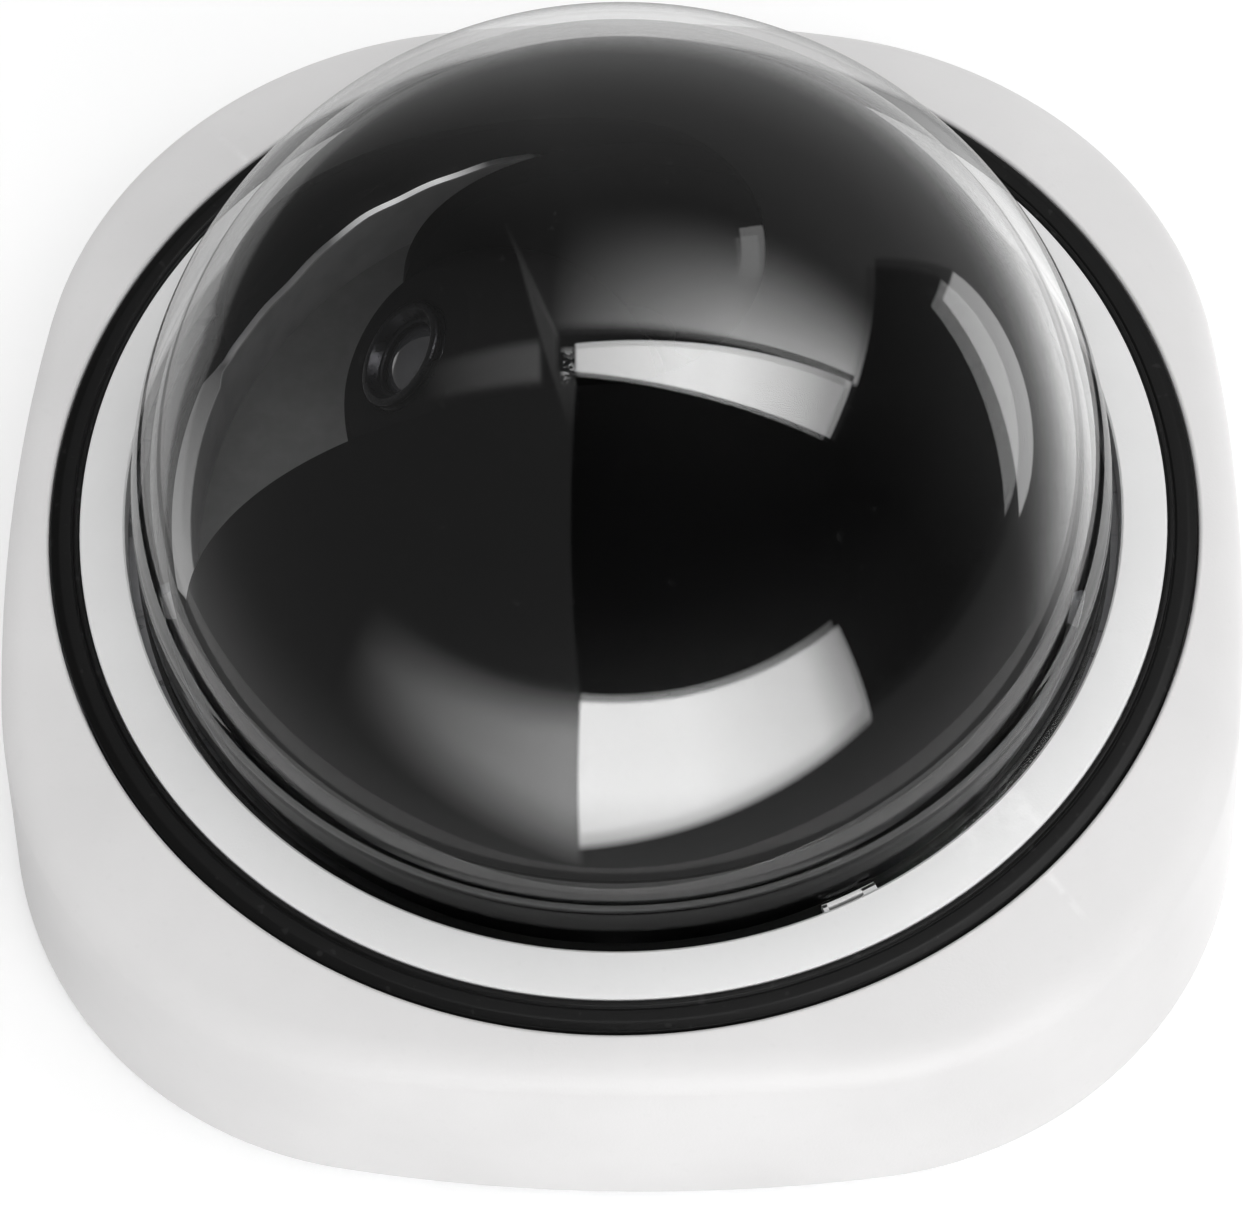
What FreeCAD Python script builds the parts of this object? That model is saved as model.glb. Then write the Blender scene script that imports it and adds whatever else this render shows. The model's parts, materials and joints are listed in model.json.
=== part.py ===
import FreeCAD, Part
import math
import os

import Sketcher
from FreeCAD import Vector

# A small ceiling dome camera.  Millimetres and degrees.
# Origin: centre of the flat back.  +Z: from the ceiling towards the top of the dome.
# At rest the lens looks towards -X and up, half way through its tilt.

SIZES = {
    # rounded-square housing and its back plate
    "housing_half_width": 62.5,
    "housing_side_radius": 180.0,
    "housing_corner_radius": 41.2,
    "housing_bottom": 0.8,
    "housing_wall": 2.4,
    "housing_draft_rise": 25.2,
    "housing_draft_run": 2.9,
    "shoulder_fillet": 4.4,
    "top_slope_run": 24.4,
    "top_slope_drop": 6.1,
    "plate_half_width": 61.6,
    "plate_rim_half_width": 59.6,
    "plate_thickness": 2.0,
    "boss_radius": 3.5,
    "boss_top": 20.4,
    "housing_screw_place": 42.4,
    "mount_hole_circle": 47.0,
    "mount_hole_radius": 2.25,
    "cable_hole_radius": 8.0,
    "cable_hole_place": 27.0,
    "cable_bore_radius": 4.0,
    # opening, seal and twist-off cover
    "opening_radius": 51.4,
    "ledge_bottom": 19.8,
    "ledge_top": 21.8,
    "seat_radius": 55.75,
    "seat_top": 24.56,
    "seal_inner_radius": 52.75,
    "seal_outer_radius": 55.6,
    "seal_bottom": 21.85,
    "seal_top": 24.95,
    "trim_outer_radius": 52.65,
    "trim_hole_radius": 48.2,
    "trim_top": 25.5,
    "skirt_outer_radius": 51.3,
    "skirt_inner_radius": 50.0,
    "skirt_bottom": 16.4,
    "lug_radius": 53.4,
    "lug_top": 19.6,
    "lug_angle": 14.0,
    "notch_radius": 53.6,
    "notch_angle": 18.0,
    # dome
    "dome_radius": 47.2,
    "dome_wall": 2.0,
    "dome_centre": 24.2,
    "flange_radius": 49.9,
    "flange_bottom": 21.6,
    "flange_top": 23.1,
    "gasket_bottom": 21.2,
    "gasket_inner_radius": 47.6,
    "retainer_inner_radius": 45.7,
    # black liner
    "liner_radius": 44.0,
    "liner_wall": 0.8,
    "liner_band_radius": 44.5,
    "liner_band_top": 26.0,
    "liner_line_height": 30.0,
    "slot_half_width": 13.8,
    "slot_foot_half_width": 16.8,
    "slot_bottom": 24.0,
    "slot_end": -0.4,
    "slot_foot": -44.0,
    "tab_thickness": 1.4,
    "tab_radius": 4.0,
    "tab_circle": 39.8,
    "sleeve_inner_radius": 42.4,
    "sleeve_wall": 0.75,
    "sleeve_top": 24.0,
    # circuit board
    "board_bottom": 4.0,
    "board_thickness": 1.6,
    "board_radius": 36.0,
    "board_cut": 15.0,
    # pan stage
    "carrier_bottom": 10.4,
    "carrier_thickness": 3.0,
    "carrier_radius": 24.0,
    "carrier_post_circle": 40.0,
    "hub_radius": 12.0,
    "hub_bore_radius": 9.5,
    "hub_bottom": 8.6,
    "running_gap": 0.05,
    "turntable_radius": 44.2,
    "turntable_thickness": 2.0,
    "washer_thickness": 0.35,
    "stop_radius": 20.0,
    # yoke and tilt axis
    "tilt_height": 29.5,
    "rest_elevation": 45.0,
    "cheek_radius": 24.0,
    "cheek_centre_place": 2.5,
    "cheek_centre_height": 33.0,
    "cheek_inner": 15.4,
    "cheek_thickness": 2.5,
    "foot_thickness": 1.6,
    "pivot_radius": 3.0,
    # camera head, along the optical axis from the tilt axis
    "ball_radius": 14.7,
    "ball_centre": 15.15,
    "ball_wall": 1.5,
    "ball_face": 27.0,
    "ball_face_radius": 8.7,
    "collar_radius": 10.4,
    "collar_rear": -1.4,
    "collar_front": 5.9,
    "frame_radius": 12.2,
    "frame_front": 5.6,
    "sensor_board_rear": 7.0,
    "sensor_board_radius": 10.3,
    "holder_front": 19.0,
    "holder_radius": 7.3,
    "thread_radius": 6.0,
    "barrel_rear": 12.0,
    "nose_radius": 5.2,
    "nose_front": 27.9,
    "glass_radius": 3.9,
    "glass_rear": 24.9,
}

doc = FreeCAD.newDocument("DomeCamera")
sheet = doc.addObject("Spreadsheet::Sheet", "Sizes")
for row, (alias, number) in enumerate(SIZES.items(), start=1):
    sheet.set(f"A{row}", alias)
    sheet.set(f"B{row}", str(number))
    sheet.setAlias(f"B{row}", alias)
doc.recompute()


class Size:
    """A number together with the sheet expression that gives it."""

    def __init__(self, number, text):
        self.number = number
        self.text = text

    def __add__(self, other):
        other = as_size(other)
        return Size(self.number + other.number, f"({self.text} + {other.text})")

    def __sub__(self, other):
        other = as_size(other)
        return Size(self.number - other.number, f"({self.text} - {other.text})")

    def __mul__(self, other):
        other = as_size(other)
        return Size(self.number * other.number, f"({self.text} * {other.text})")

    def __neg__(self):
        return Size(-self.number, f"(0 - {self.text})")


def as_size(value):
    if isinstance(value, Size):
        return value
    return Size(float(value), f"({float(value)})")


def size(alias):
    return Size(float(sheet.get(alias)), f"Sizes.{alias}")


def bind(item, prop, value):
    value = as_size(value)
    item.setExpression(prop, value.text)
    return value.number


# ---------------------------------------------------------------- sketches and bodies

def origin_plane(body, role):
    return next(f for f in body.Origin.OriginFeatures if f.Role == role)


def new_sketch(body, role, offset=None):
    sketch = body.newObject("Sketcher::SketchObject", body.Name + "_sketch")
    sketch.AttachmentSupport = [(origin_plane(body, role), "")]
    sketch.MapMode = "FlatFace"
    if offset is not None:
        bind(sketch, "AttachmentOffset.Base.z", offset)
    return sketch


def pin_point(sketch, edge, end, x, y):
    """Hold one end of an edge at x and y; a plain float is only a first guess."""
    for kind, axis_line, value in (("DistanceX", -2, x), ("DistanceY", -1, y)):
        if isinstance(value, float):
            continue
        value = as_size(value)
        if value.number == 0:
            sketch.addConstraint(Sketcher.Constraint("PointOnObject", edge, end, axis_line))
        else:
            index = sketch.addConstraint(
                Sketcher.Constraint(kind, -1, 1, edge, end, value.number)
            )
            bind(sketch, f"Constraints[{index}]", value)


def number_of(value):
    return value.number if isinstance(value, Size) else float(value)


def outline(sketch, points, arcs=None):
    """A closed outline.  arcs: first point's index -> (centre x, centre y, turns left)."""
    arcs = arcs or {}
    count = len(points)
    places = [Vector(number_of(x), number_of(y), 0) for x, y in points]
    ends = []
    for i, start in enumerate(places):
        finish = places[(i + 1) % count]
        if i not in arcs:
            edge = sketch.addGeometry(Part.LineSegment(start, finish), False)
            ends.append((edge, 1, 2))
            continue
        centre_x, centre_y, left = arcs[i]
        centre = Vector(number_of(centre_x), number_of(centre_y), 0)
        circle = Part.Circle(centre, Vector(0, 0, 1), (start - centre).Length)
        first, last = (start, finish) if left else (finish, start)
        angles = [math.atan2(p.y - centre.y, p.x - centre.x) for p in (first, last)]
        edge = sketch.addGeometry(Part.ArcOfCircle(circle, *angles), False)
        pin_point(sketch, edge, 3, centre_x, centre_y)
        ends.append((edge, 1, 2) if left else (edge, 2, 1))
    for i, (edge, start, finish) in enumerate(ends):
        other, other_start, _ = ends[(i + 1) % count]
        sketch.addConstraint(Sketcher.Constraint("Coincident", edge, finish, other, other_start))
        pin_point(sketch, edge, start, *points[i])


def turned(name, points, arcs=None):
    """A body turned about Z from an outline of (radius, height) points."""
    body = doc.addObject("PartDesign::Body", name)
    sketch = new_sketch(body, "XZ_Plane")
    outline(sketch, points, arcs)
    turn = body.newObject("PartDesign::Revolution", name + "_turn")
    turn.Profile = sketch
    turn.ReferenceAxis = (sketch, ["V_Axis"])
    turn.Angle = 360
    return body


def rounded_square(sketch, half_width, side_radius, corner_radius):
    """Four long side arcs and four corner arcs, each joined smoothly to the next."""
    half, side, corner = half_width.number, side_radius.number, corner_radius.number
    back = side - half
    # corner centre (d, d) is (side - corner) from the side arc's centre (-back, 0)
    reach = side - corner
    d = (-back + math.sqrt(2 * reach * reach - back * back)) / 2
    lean = math.atan2(d, d + back)
    edges = []
    for quarter in range(4):
        turn = quarter * math.pi / 2
        out = Vector(math.cos(turn), math.sin(turn), 0)
        across = Vector(-math.sin(turn), math.cos(turn), 0)
        side_circle = Part.Circle(out * -back, Vector(0, 0, 1), side)
        corner_circle = Part.Circle((out + across) * d, Vector(0, 0, 1), corner)
        side_arc = Part.ArcOfCircle(side_circle, turn - lean, turn + lean)
        corner_arc = Part.ArcOfCircle(corner_circle, turn + lean, turn + math.pi / 2 - lean)
        edges.append(sketch.addGeometry(side_arc, False))
        edges.append(sketch.addGeometry(corner_arc, False))
    for i, edge in enumerate(edges):
        follower = edges[(i + 1) % len(edges)]
        sketch.addConstraint(Sketcher.Constraint("Tangent", edge, 2, follower, 1))
    for i in range(2, len(edges)):
        sketch.addConstraint(Sketcher.Constraint("Equal", edges[i - 2], edges[i]))
    for edge, radius in ((edges[0], side_radius), (edges[1], corner_radius)):
        index = sketch.addConstraint(Sketcher.Constraint("Radius", edge, radius.number))
        bind(sketch, f"Constraints[{index}]", radius)
    offset = side_radius - half_width
    zero = as_size(0)
    places = [(-offset, zero), (zero, -offset), (offset, zero), (zero, offset)]
    for quarter, (x, y) in enumerate(places):
        pin_point(sketch, edges[2 * quarter], 3, x, y)


def pad_rounded_square(body, half_width, bottom, height, corner_radius):
    sketch = new_sketch(body, "XY_Plane", bottom)
    rounded_square(sketch, half_width, size("housing_side_radius"), corner_radius)
    pad = body.newObject("PartDesign::Pad", body.Name + "_pad")
    pad.Profile = sketch
    bind(pad, "Length", height)
    return pad


# ---------------------------------------------------------------- primitives and booleans

def place(item, x=0, y=0, z=0, axis=(0, 0, 1), angle=0):
    item.Placement = FreeCAD.Placement(
        Vector(number_of(x), number_of(y), number_of(z)),
        FreeCAD.Rotation(Vector(*axis), number_of(angle)),
    )
    for letter, value in (("x", x), ("y", y), ("z", z)):
        if isinstance(value, Size):
            bind(item, f"Placement.Base.{letter}", value)
    return item


def cylinder(radius, bottom, top, x=0, y=0, sweep=360, start=0):
    item = doc.addObject("Part::Cylinder", "round")
    bind(item, "Radius", radius)
    bind(item, "Height", as_size(top) - as_size(bottom))
    bind(item, "Angle", sweep)
    return place(item, x, y, as_size(bottom), angle=start)


def cross_cylinder(radius, near, far, x=0, z=0):
    """A cylinder along +Y from near to far."""
    item = doc.addObject("Part::Cylinder", "cross_round")
    bind(item, "Radius", radius)
    bind(item, "Height", as_size(far) - as_size(near))
    return place(item, x, as_size(near), z, axis=(1, 0, 0), angle=-90)


def cone(low_radius, high_radius, bottom, top, x=0, y=0):
    item = doc.addObject("Part::Cone", "taper")
    bind(item, "Radius1", low_radius)
    bind(item, "Radius2", high_radius)
    bind(item, "Height", as_size(top) - as_size(bottom))
    return place(item, x, y, as_size(bottom))


def block(low, high):
    item = doc.addObject("Part::Box", "block")
    low = [as_size(v) for v in low]
    high = [as_size(v) for v in high]
    for prop, a, b in zip(("Length", "Width", "Height"), low, high):
        bind(item, prop, b - a)
    return place(item, *low)


def fuse(name, items):
    item = doc.addObject("Part::MultiFuse", name)
    item.Shapes = items
    return item


def cut(name, base, tools):
    item = doc.addObject("Part::Cut", name)
    item.Base = base
    item.Tool = tools[0] if len(tools) == 1 else fuse(name + "_tools", tools)
    return item


def common(name, items):
    item = doc.addObject("Part::MultiCommon", name)
    item.Shapes = items
    return item


def group(name, items):
    """Identical separate solids kept together as one sub-part."""
    item = doc.addObject("Part::Compound", name)
    item.Links = items
    return item


def ring(name, inner, outer, bottom, top, sweep=360, start=0):
    return cut(
        name,
        cylinder(outer, bottom, top, sweep=sweep, start=start),
        [cylinder(inner, as_size(bottom) - 1, as_size(top) + 1)],
    )


def around(count, radius, first=0.0):
    """Places on a circle about Z."""
    for i in range(count):
        angle = math.radians(first + 360.0 * i / count)
        yield Vector(radius * math.cos(angle), radius * math.sin(angle), 0)


PARTS = []


def finished(item, label):
    item.Label = label
    PARTS.append(item)
    return item


# ---------------------------------------------------------------- fasteners

SMALL_SCREW_SHANK = 1.1
SMALL_SCREW_HEAD = 2.2
SMALL_SCREW_HEAD_HEIGHT = 1.4
SMALL_SCREW_GRIP = 1.8       # how far a small screw reaches into what it holds on to
SMALL_RECESS_DEPTH = 0.7


def cross_recess(x, y, arm, width, bottom, top):
    return [
        block((x - arm, y - width, bottom), (x + arm, y + width, top)),
        block((x - width, y - arm, bottom), (x + width, y + arm, top)),
    ]


def pan_head_screw(x, y, seat, tip, shank=SMALL_SCREW_SHANK, head=SMALL_SCREW_HEAD):
    """Head above the seat, shank down to the tip, with a cross recess."""
    top = as_size(seat) + SMALL_SCREW_HEAD_HEIGHT
    body = fuse("screw_body", [
        cylinder(shank, tip, seat, x, y),
        cone(head, head * 0.8, seat, top, x, y),
    ])
    recess = cross_recess(x, y, head * 0.6, head * 0.12, top - SMALL_RECESS_DEPTH, top + 1)
    return cut("screw", body, recess)


COUNTERSINK_DEPTH = 1.5
COUNTERSINK_RADIUS = 2.9
COUNTERSINK_SINK = 0.05      # the head lies this far inside the flat back
BACK_SCREW_SHANK = 1.4
BACK_RECESS_ARM = 1.5
BACK_RECESS_WIDTH = 0.3
BACK_RECESS_DEPTH = 0.8


def back_screw_cone(x, y):
    return cone(
        COUNTERSINK_RADIUS, BACK_SCREW_SHANK, COUNTERSINK_SINK, COUNTERSINK_DEPTH, x, y
    )


def back_screw(x, y, tip):
    """A countersunk screw driven upwards from the flat back."""
    body = fuse("back_screw_body", [
        back_screw_cone(x, y),
        cylinder(BACK_SCREW_SHANK, COUNTERSINK_DEPTH, tip, x, y),
    ])
    recess = cross_recess(x, y, BACK_RECESS_ARM, BACK_RECESS_WIDTH, -1, BACK_RECESS_DEPTH)
    return cut("back_screw", body, recess)


def back_screw_hole(x, y):
    return [
        back_screw_cone(x, y),
        cylinder(COUNTERSINK_RADIUS, -1, COUNTERSINK_SINK, x, y),
        cylinder(BACK_SCREW_SHANK, 1, 10, x, y),
    ]


# ---------------------------------------------------------------- back plate and housing

corner_places = [
    (sx * SIZES["housing_screw_place"], sy * SIZES["housing_screw_place"])
    for sx in (-1, 1) for sy in (-1, 1)
]
post_places = list(around(4, SIZES["carrier_post_circle"], 45))
board_screw_places = [(26.0, 10.0), (-26.0, 10.0), (26.0, -14.0), (-26.0, -14.0)]
HOUSING_SCREW_TIP = 14.0
CARRIER_SCREW_TIP = 9.0
STANDOFF_RADIUS = 3.0
BOARD_SCREW_TIP = 1.6
BOARD_SCREW_SHANK = 1.2


def make_mounting_plate():
    body = doc.addObject("PartDesign::Body", "plate_body")
    wall = size("housing_wall")
    corner = size("housing_corner_radius")
    pad_rounded_square(body, size("plate_half_width"), as_size(0), size("housing_bottom"), corner - 1)
    rim_height = size("plate_thickness") - size("housing_bottom")
    pad_rounded_square(
        body, size("plate_rim_half_width"), size("housing_bottom"), rim_height, corner - wall
    )
    doc.recompute()
    standoffs = [
        cylinder(STANDOFF_RADIUS, size("plate_thickness") - 0.5, size("board_bottom"), x, y)
        for x, y in board_screw_places
    ]
    solid = fuse("plate_solid", [body] + standoffs)
    holes = [cylinder(size("cable_hole_radius"), -1, 5, 0, size("cable_hole_place"))]
    for spot in around(4, SIZES["mount_hole_circle"]):
        holes.append(cylinder(size("mount_hole_radius"), -1, 5, spot.x, spot.y))
    for x, y in corner_places:
        holes += back_screw_hole(x, y)
    for spot in post_places:
        holes += back_screw_hole(spot.x, spot.y)
    for x, y in board_screw_places:
        holes.append(cylinder(BOARD_SCREW_SHANK, BOARD_SCREW_TIP, 8, x, y))
    finished(cut("plate_cut", solid, holes), "mounting_plate")


def make_housing():
    body = doc.addObject("PartDesign::Body", "housing_body")
    bottom = size("housing_bottom")
    rise = size("housing_draft_rise")
    run = size("housing_draft_run")
    side = size("housing_side_radius")
    corner = size("housing_corner_radius")
    wall = size("housing_wall")
    half = size("housing_half_width")

    def section(half_width, height, corner_radius):
        sketch = new_sketch(body, "XY_Plane", height)
        rounded_square(sketch, half_width, side, corner_radius)
        return sketch

    outer_loft = body.newObject("PartDesign::AdditiveLoft", "outer_shell")
    outer_loft.Profile = section(half, bottom, corner)
    outer_loft.Sections = [section(half - run, bottom + rise, corner + 1.4)]
    doc.recompute()

    # the cavity keeps the same draft and stops under the ledge
    cavity_rise = size("ledge_bottom") - bottom
    slope = run.number / rise.number
    inner_loft = body.newObject("PartDesign::SubtractiveLoft", "cavity")
    inner_loft.Profile = section(half - wall, bottom, corner - wall)
    inner_loft.Sections = [
        section(half - wall - cavity_rise * slope, size("ledge_bottom"), corner - wall + 1)
    ]
    doc.recompute()

    # opening, seal seat and the gently falling top, all cut by one turned profile
    top_sketch = new_sketch(body, "XZ_Plane")
    seat, seat_top = size("seat_radius"), size("seat_top")
    far = seat + size("top_slope_run")
    outline(top_sketch, [
        (as_size(0), size("ledge_bottom") - 5),
        (size("opening_radius"), size("ledge_bottom") - 5),
        (size("opening_radius"), size("ledge_top")),
        (seat, size("ledge_top")),
        (seat, seat_top),
        (far, seat_top - size("top_slope_drop")),
        (far, seat_top + 20),
        (as_size(0), seat_top + 20),
    ])
    groove = body.newObject("PartDesign::Groove", "top_turn")
    groove.Profile = top_sketch
    groove.ReferenceAxis = (top_sketch, ["V_Axis"])
    groove.Angle = 360
    doc.recompute()

    def is_shoulder(edge):
        box = edge.BoundBox
        middle = edge.valueAt(edge.getParameterByLength(edge.Length / 2))
        return box.ZMin > 21 and math.hypot(middle.x, middle.y) > 58

    shoulder_edges = [
        f"Edge{i}" for i, edge in enumerate(groove.Shape.Edges, start=1) if is_shoulder(edge)
    ]
    shoulder = body.newObject("PartDesign::Fillet", "shoulder_round")
    shoulder.Base = (groove, shoulder_edges)
    bind(shoulder, "Radius", size("shoulder_fillet"))
    doc.recompute()

    bosses = [
        cylinder(size("boss_radius"), size("plate_thickness"), size("boss_top"), x, y)
        for x, y in corner_places
    ]
    solid = fuse("housing_solid", [body] + bosses)
    tools = [cylinder(BACK_SCREW_SHANK, 0, HOUSING_SCREW_TIP + 1, x, y) for x, y in corner_places]
    for quarter in range(4):
        start = 90.0 * quarter - SIZES["notch_angle"] / 2 + 45
        tools.append(cylinder(
            size("notch_radius"), size("ledge_bottom") - 1, size("ledge_top"),
            sweep=size("notch_angle"), start=start,
        ))
    finished(cut("housing_cut", solid, tools), "housing")


def make_base_fasteners():
    housing_screws = [back_screw(x, y, HOUSING_SCREW_TIP) for x, y in corner_places]
    finished(group("housing_screw_set", housing_screws), "housing_screws")
    carrier_screws = [back_screw(p.x, p.y, CARRIER_SCREW_TIP) for p in post_places]
    finished(group("carrier_screw_set", carrier_screws), "carrier_screws")
    board_top = size("board_bottom") + size("board_thickness")
    screws = [
        pan_head_screw(x, y, board_top, as_size(BOARD_SCREW_TIP), BOARD_SCREW_SHANK)
        for x, y in board_screw_places
    ]
    finished(group("board_screw_set", screws), "board_screws")


def make_cable_grommet():
    bore, hole = size("cable_bore_radius"), size("cable_hole_radius")
    plate = size("plate_thickness")
    body = turned("grommet_body", [
        (bore, as_size(0.3)),
        (hole, as_size(0.3)),
        (hole, plate),
        (hole + 1.5, plate),
        (hole + 1.5, plate + 0.9),
        (hole + 1.1, plate + 1.3),
        (bore, plate + 1.3),
    ])
    place(body, 0, size("cable_hole_place"), 0)
    finished(body, "cable_grommet")


# ---------------------------------------------------------------- electronics on the base

BOARD_PIECES = {
    # footprint (low corner, high corner) and height above the board
    "processor": ((-24, -10), (-13, 1), 1.2),
    "memory": ((-6, -27), (3, -19), 1.0),
    "ribbon_socket": ((-5, -2), (5, 2), 2.0),
    "terminal": ((26.5, -8), (34.5, 4), 7.4),
}
COIL_PLACE = (-17, 6)
COIL_RADIUS = 3.8
COIL_HEIGHT = 3.2
COIL_DIMPLE_RADIUS = 2.6
COIL_DIMPLE_DEPTH = 0.3
CAN_PLACES = ((14, -26), (21, -21))
CAN_RADIUS = 3.2
CAN_HEIGHT = 4.4
TERMINAL_WAYS = (-5.5, -2.0, 1.5)
WIRE_HOLE_HALF_WIDTH = 1.1
WIRE_HOLE_LOW = 1.2
WIRE_HOLE_HIGH = 3.6
CLAMP_SCREW_PLACE = 29.5
CLAMP_SCREW_RADIUS = 1.3
CLAMP_SCREW_DEPTH = 1.2


def make_main_board():
    bottom = size("board_bottom")
    top = bottom + size("board_thickness")
    disc = cylinder(size("board_radius"), bottom, top)
    cuts = [block((-50, size("board_cut"), 0), (50, 60, 20))]
    cuts += [cylinder(BOARD_SCREW_SHANK, 0, 20, x, y) for x, y in board_screw_places]
    finished(cut("board_cut", disc, cuts), "main_board")

    def on_board(piece):
        low, high, height = BOARD_PIECES[piece]
        return block((low[0], low[1], top), (high[0], high[1], top + height))

    finished(group("chip_set", [on_board("processor"), on_board("memory")]), "chips")
    coil_top = top + COIL_HEIGHT
    coil = cut("coil_shape", cylinder(COIL_RADIUS, top, coil_top, *COIL_PLACE), [
        cylinder(COIL_DIMPLE_RADIUS, coil_top - COIL_DIMPLE_DEPTH, coil_top + 1, *COIL_PLACE),
    ])
    finished(coil, "power_inductor")
    cans = [cylinder(CAN_RADIUS, top, top + CAN_HEIGHT, x, y) for x, y in CAN_PLACES]
    finished(group("can_set", cans), "capacitors")
    finished(on_board("ribbon_socket"), "ribbon_connector")

    near, far, height = BOARD_PIECES["terminal"]
    middle = (near[0] + far[0]) / 2
    openings = [
        block(
            (middle, y - WIRE_HOLE_HALF_WIDTH, top + WIRE_HOLE_LOW),
            (far[0] + 1, y + WIRE_HOLE_HALF_WIDTH, top + WIRE_HOLE_HIGH),
        )
        for y in TERMINAL_WAYS
    ]
    openings += [
        cylinder(
            CLAMP_SCREW_RADIUS, top + height - CLAMP_SCREW_DEPTH, top + height + 1,
            CLAMP_SCREW_PLACE, y,
        )
        for y in TERMINAL_WAYS
    ]
    finished(cut("terminal_shape", on_board("terminal"), openings), "terminal_block")


# ---------------------------------------------------------------- pan stage

STOP_RIB_ANGLE = 6.0
STOP_LUG_ANGLE = 4.0
STOP_GROOVE_HALF_WIDTH = 1.1
STOP_GROOVE_DEPTH = 1.5
STOP_LUG_HALF_WIDTH = 0.9
STOP_LUG_DROP = 1.7
ARM_HALF_WIDTH = 4.0
POST_RADIUS = 3.5
CLIP_SWEEP = 300.0


def make_pan_carrier():
    bottom = size("carrier_bottom")
    top = bottom + size("carrier_thickness")
    reach = size("carrier_post_circle")
    solids = [cylinder(size("carrier_radius"), bottom, top)]
    for i, spot in enumerate(post_places):
        arm = block((0, 0, bottom), (reach, 2 * ARM_HALF_WIDTH, top))
        turn = FreeCAD.Rotation(Vector(0, 0, 1), 45 + 90 * i)
        side = turn.multVec(Vector(0, -ARM_HALF_WIDTH, 0))
        for letter, value in (("x", side.x), ("y", side.y)):
            bind(arm, f"Placement.Base.{letter}", value)
        arm.Placement.Rotation = turn
        solids.append(arm)
        solids.append(cylinder(POST_RADIUS, size("plate_thickness"), top, spot.x, spot.y))
    stop = size("stop_radius")
    groove = ring(
        "stop_groove", stop - STOP_GROOVE_HALF_WIDTH, stop + STOP_GROOVE_HALF_WIDTH,
        top - STOP_GROOVE_DEPTH, top + 1,
        sweep=360 - STOP_RIB_ANGLE, start=180 + STOP_RIB_ANGLE / 2,
    )
    tools = [cylinder(size("hub_radius") + size("running_gap"), 0, 20), groove]
    tools += [cylinder(BACK_SCREW_SHANK, 0, CARRIER_SCREW_TIP + 0.2, p.x, p.y) for p in post_places]
    finished(cut("carrier_shape", fuse("carrier_solid", solids), tools), "pan_carrier")
    washer = ring(
        "washer_shape", size("hub_radius") + 1, size("hub_radius") + 5.5,
        top, top + size("washer_thickness"),
    )
    finished(washer, "friction_washer")
    return top


def make_turntable(carrier_top):
    bottom = carrier_top + size("washer_thickness") + size("running_gap")
    top = bottom + size("turntable_thickness")
    hub, bore = size("hub_radius"), size("hub_bore_radius")
    hub_bottom = size("hub_bottom")
    outer = size("turntable_radius")
    body = turned("turntable_body", [
        (bore, hub_bottom),
        (hub - 0.4, hub_bottom),
        (hub - 0.4, hub_bottom + 0.6),
        (hub - 1, hub_bottom + 0.6),
        (hub - 1, hub_bottom + 1.6),
        (hub, hub_bottom + 1.6),
        (hub, bottom),
        (outer, bottom),
        (outer, top),
        (bore, top),
    ])
    stop = size("stop_radius")
    lug = ring(
        "stop_lug", stop - STOP_LUG_HALF_WIDTH, stop + STOP_LUG_HALF_WIDTH,
        bottom - STOP_LUG_DROP, bottom + 0.5,
        sweep=STOP_LUG_ANGLE, start=-STOP_LUG_ANGLE / 2,
    )
    screw_places = yoke_screw_places + [(p.x, p.y) for p in liner_screw_places]
    holes = [cylinder(SMALL_SCREW_SHANK, bottom - 1, top + 1, x, y) for x, y in screw_places]
    finished(cut("turntable_shape", fuse("turntable_solid", [body, lug]), holes), "turntable")
    clip = ring("clip_shape", hub - 1, hub + 2.4, hub_bottom + 0.65, hub_bottom + 1.55,
                sweep=CLIP_SWEEP, start=-CLIP_SWEEP / 5)
    finished(clip, "hub_clip")
    return top


yoke_screw_places = [(sx * 9.0, sy * 20.2) for sx in (-1, 1) for sy in (-1, 1)]
liner_screw_places = list(around(3, SIZES["tab_circle"]))


FOOT_WIDTH = 7.6


def make_yoke(table_top):
    inner = size("cheek_inner")
    outer = inner + size("cheek_thickness")
    axis = size("tilt_height")
    foot_top = table_top + size("foot_thickness")
    foot_half_length = 14
    cross_bar_end = 17.5
    solids = []
    for side in (-1, 1):
        near, far = (inner, outer) if side > 0 else (-outer, -inner)
        disc = cross_cylinder(
            size("cheek_radius"), near, far, size("cheek_centre_place"), size("cheek_centre_height")
        )
        keep = block((-30, near, table_top), (30, far, axis + size("cheek_radius") * 2))
        solids.append(common("cheek", [disc, keep]))
        far_foot = inner + FOOT_WIDTH
        low, high = (inner, far_foot) if side > 0 else (-far_foot, -inner)
        solids.append(block((-foot_half_length, low, table_top), (foot_half_length, high, foot_top)))
    solids.append(block(
        (foot_half_length - 1, -inner, table_top), (cross_bar_end, inner, foot_top)
    ))
    hole = size("pivot_radius") + size("running_gap")
    tools = [cross_cylinder(hole, -outer - 1, outer + 1, 0, axis)]
    tools += [
        cylinder(SMALL_SCREW_SHANK, table_top - 1, foot_top + 1, x, y)
        for x, y in yoke_screw_places
    ]
    finished(cut("yoke_shape", fuse("yoke_solid", solids), tools), "yoke")
    screws = [
        pan_head_screw(x, y, foot_top, table_top - SMALL_SCREW_GRIP) for x, y in yoke_screw_places
    ]
    finished(group("yoke_screw_set", screws), "yoke_screws")


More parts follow.
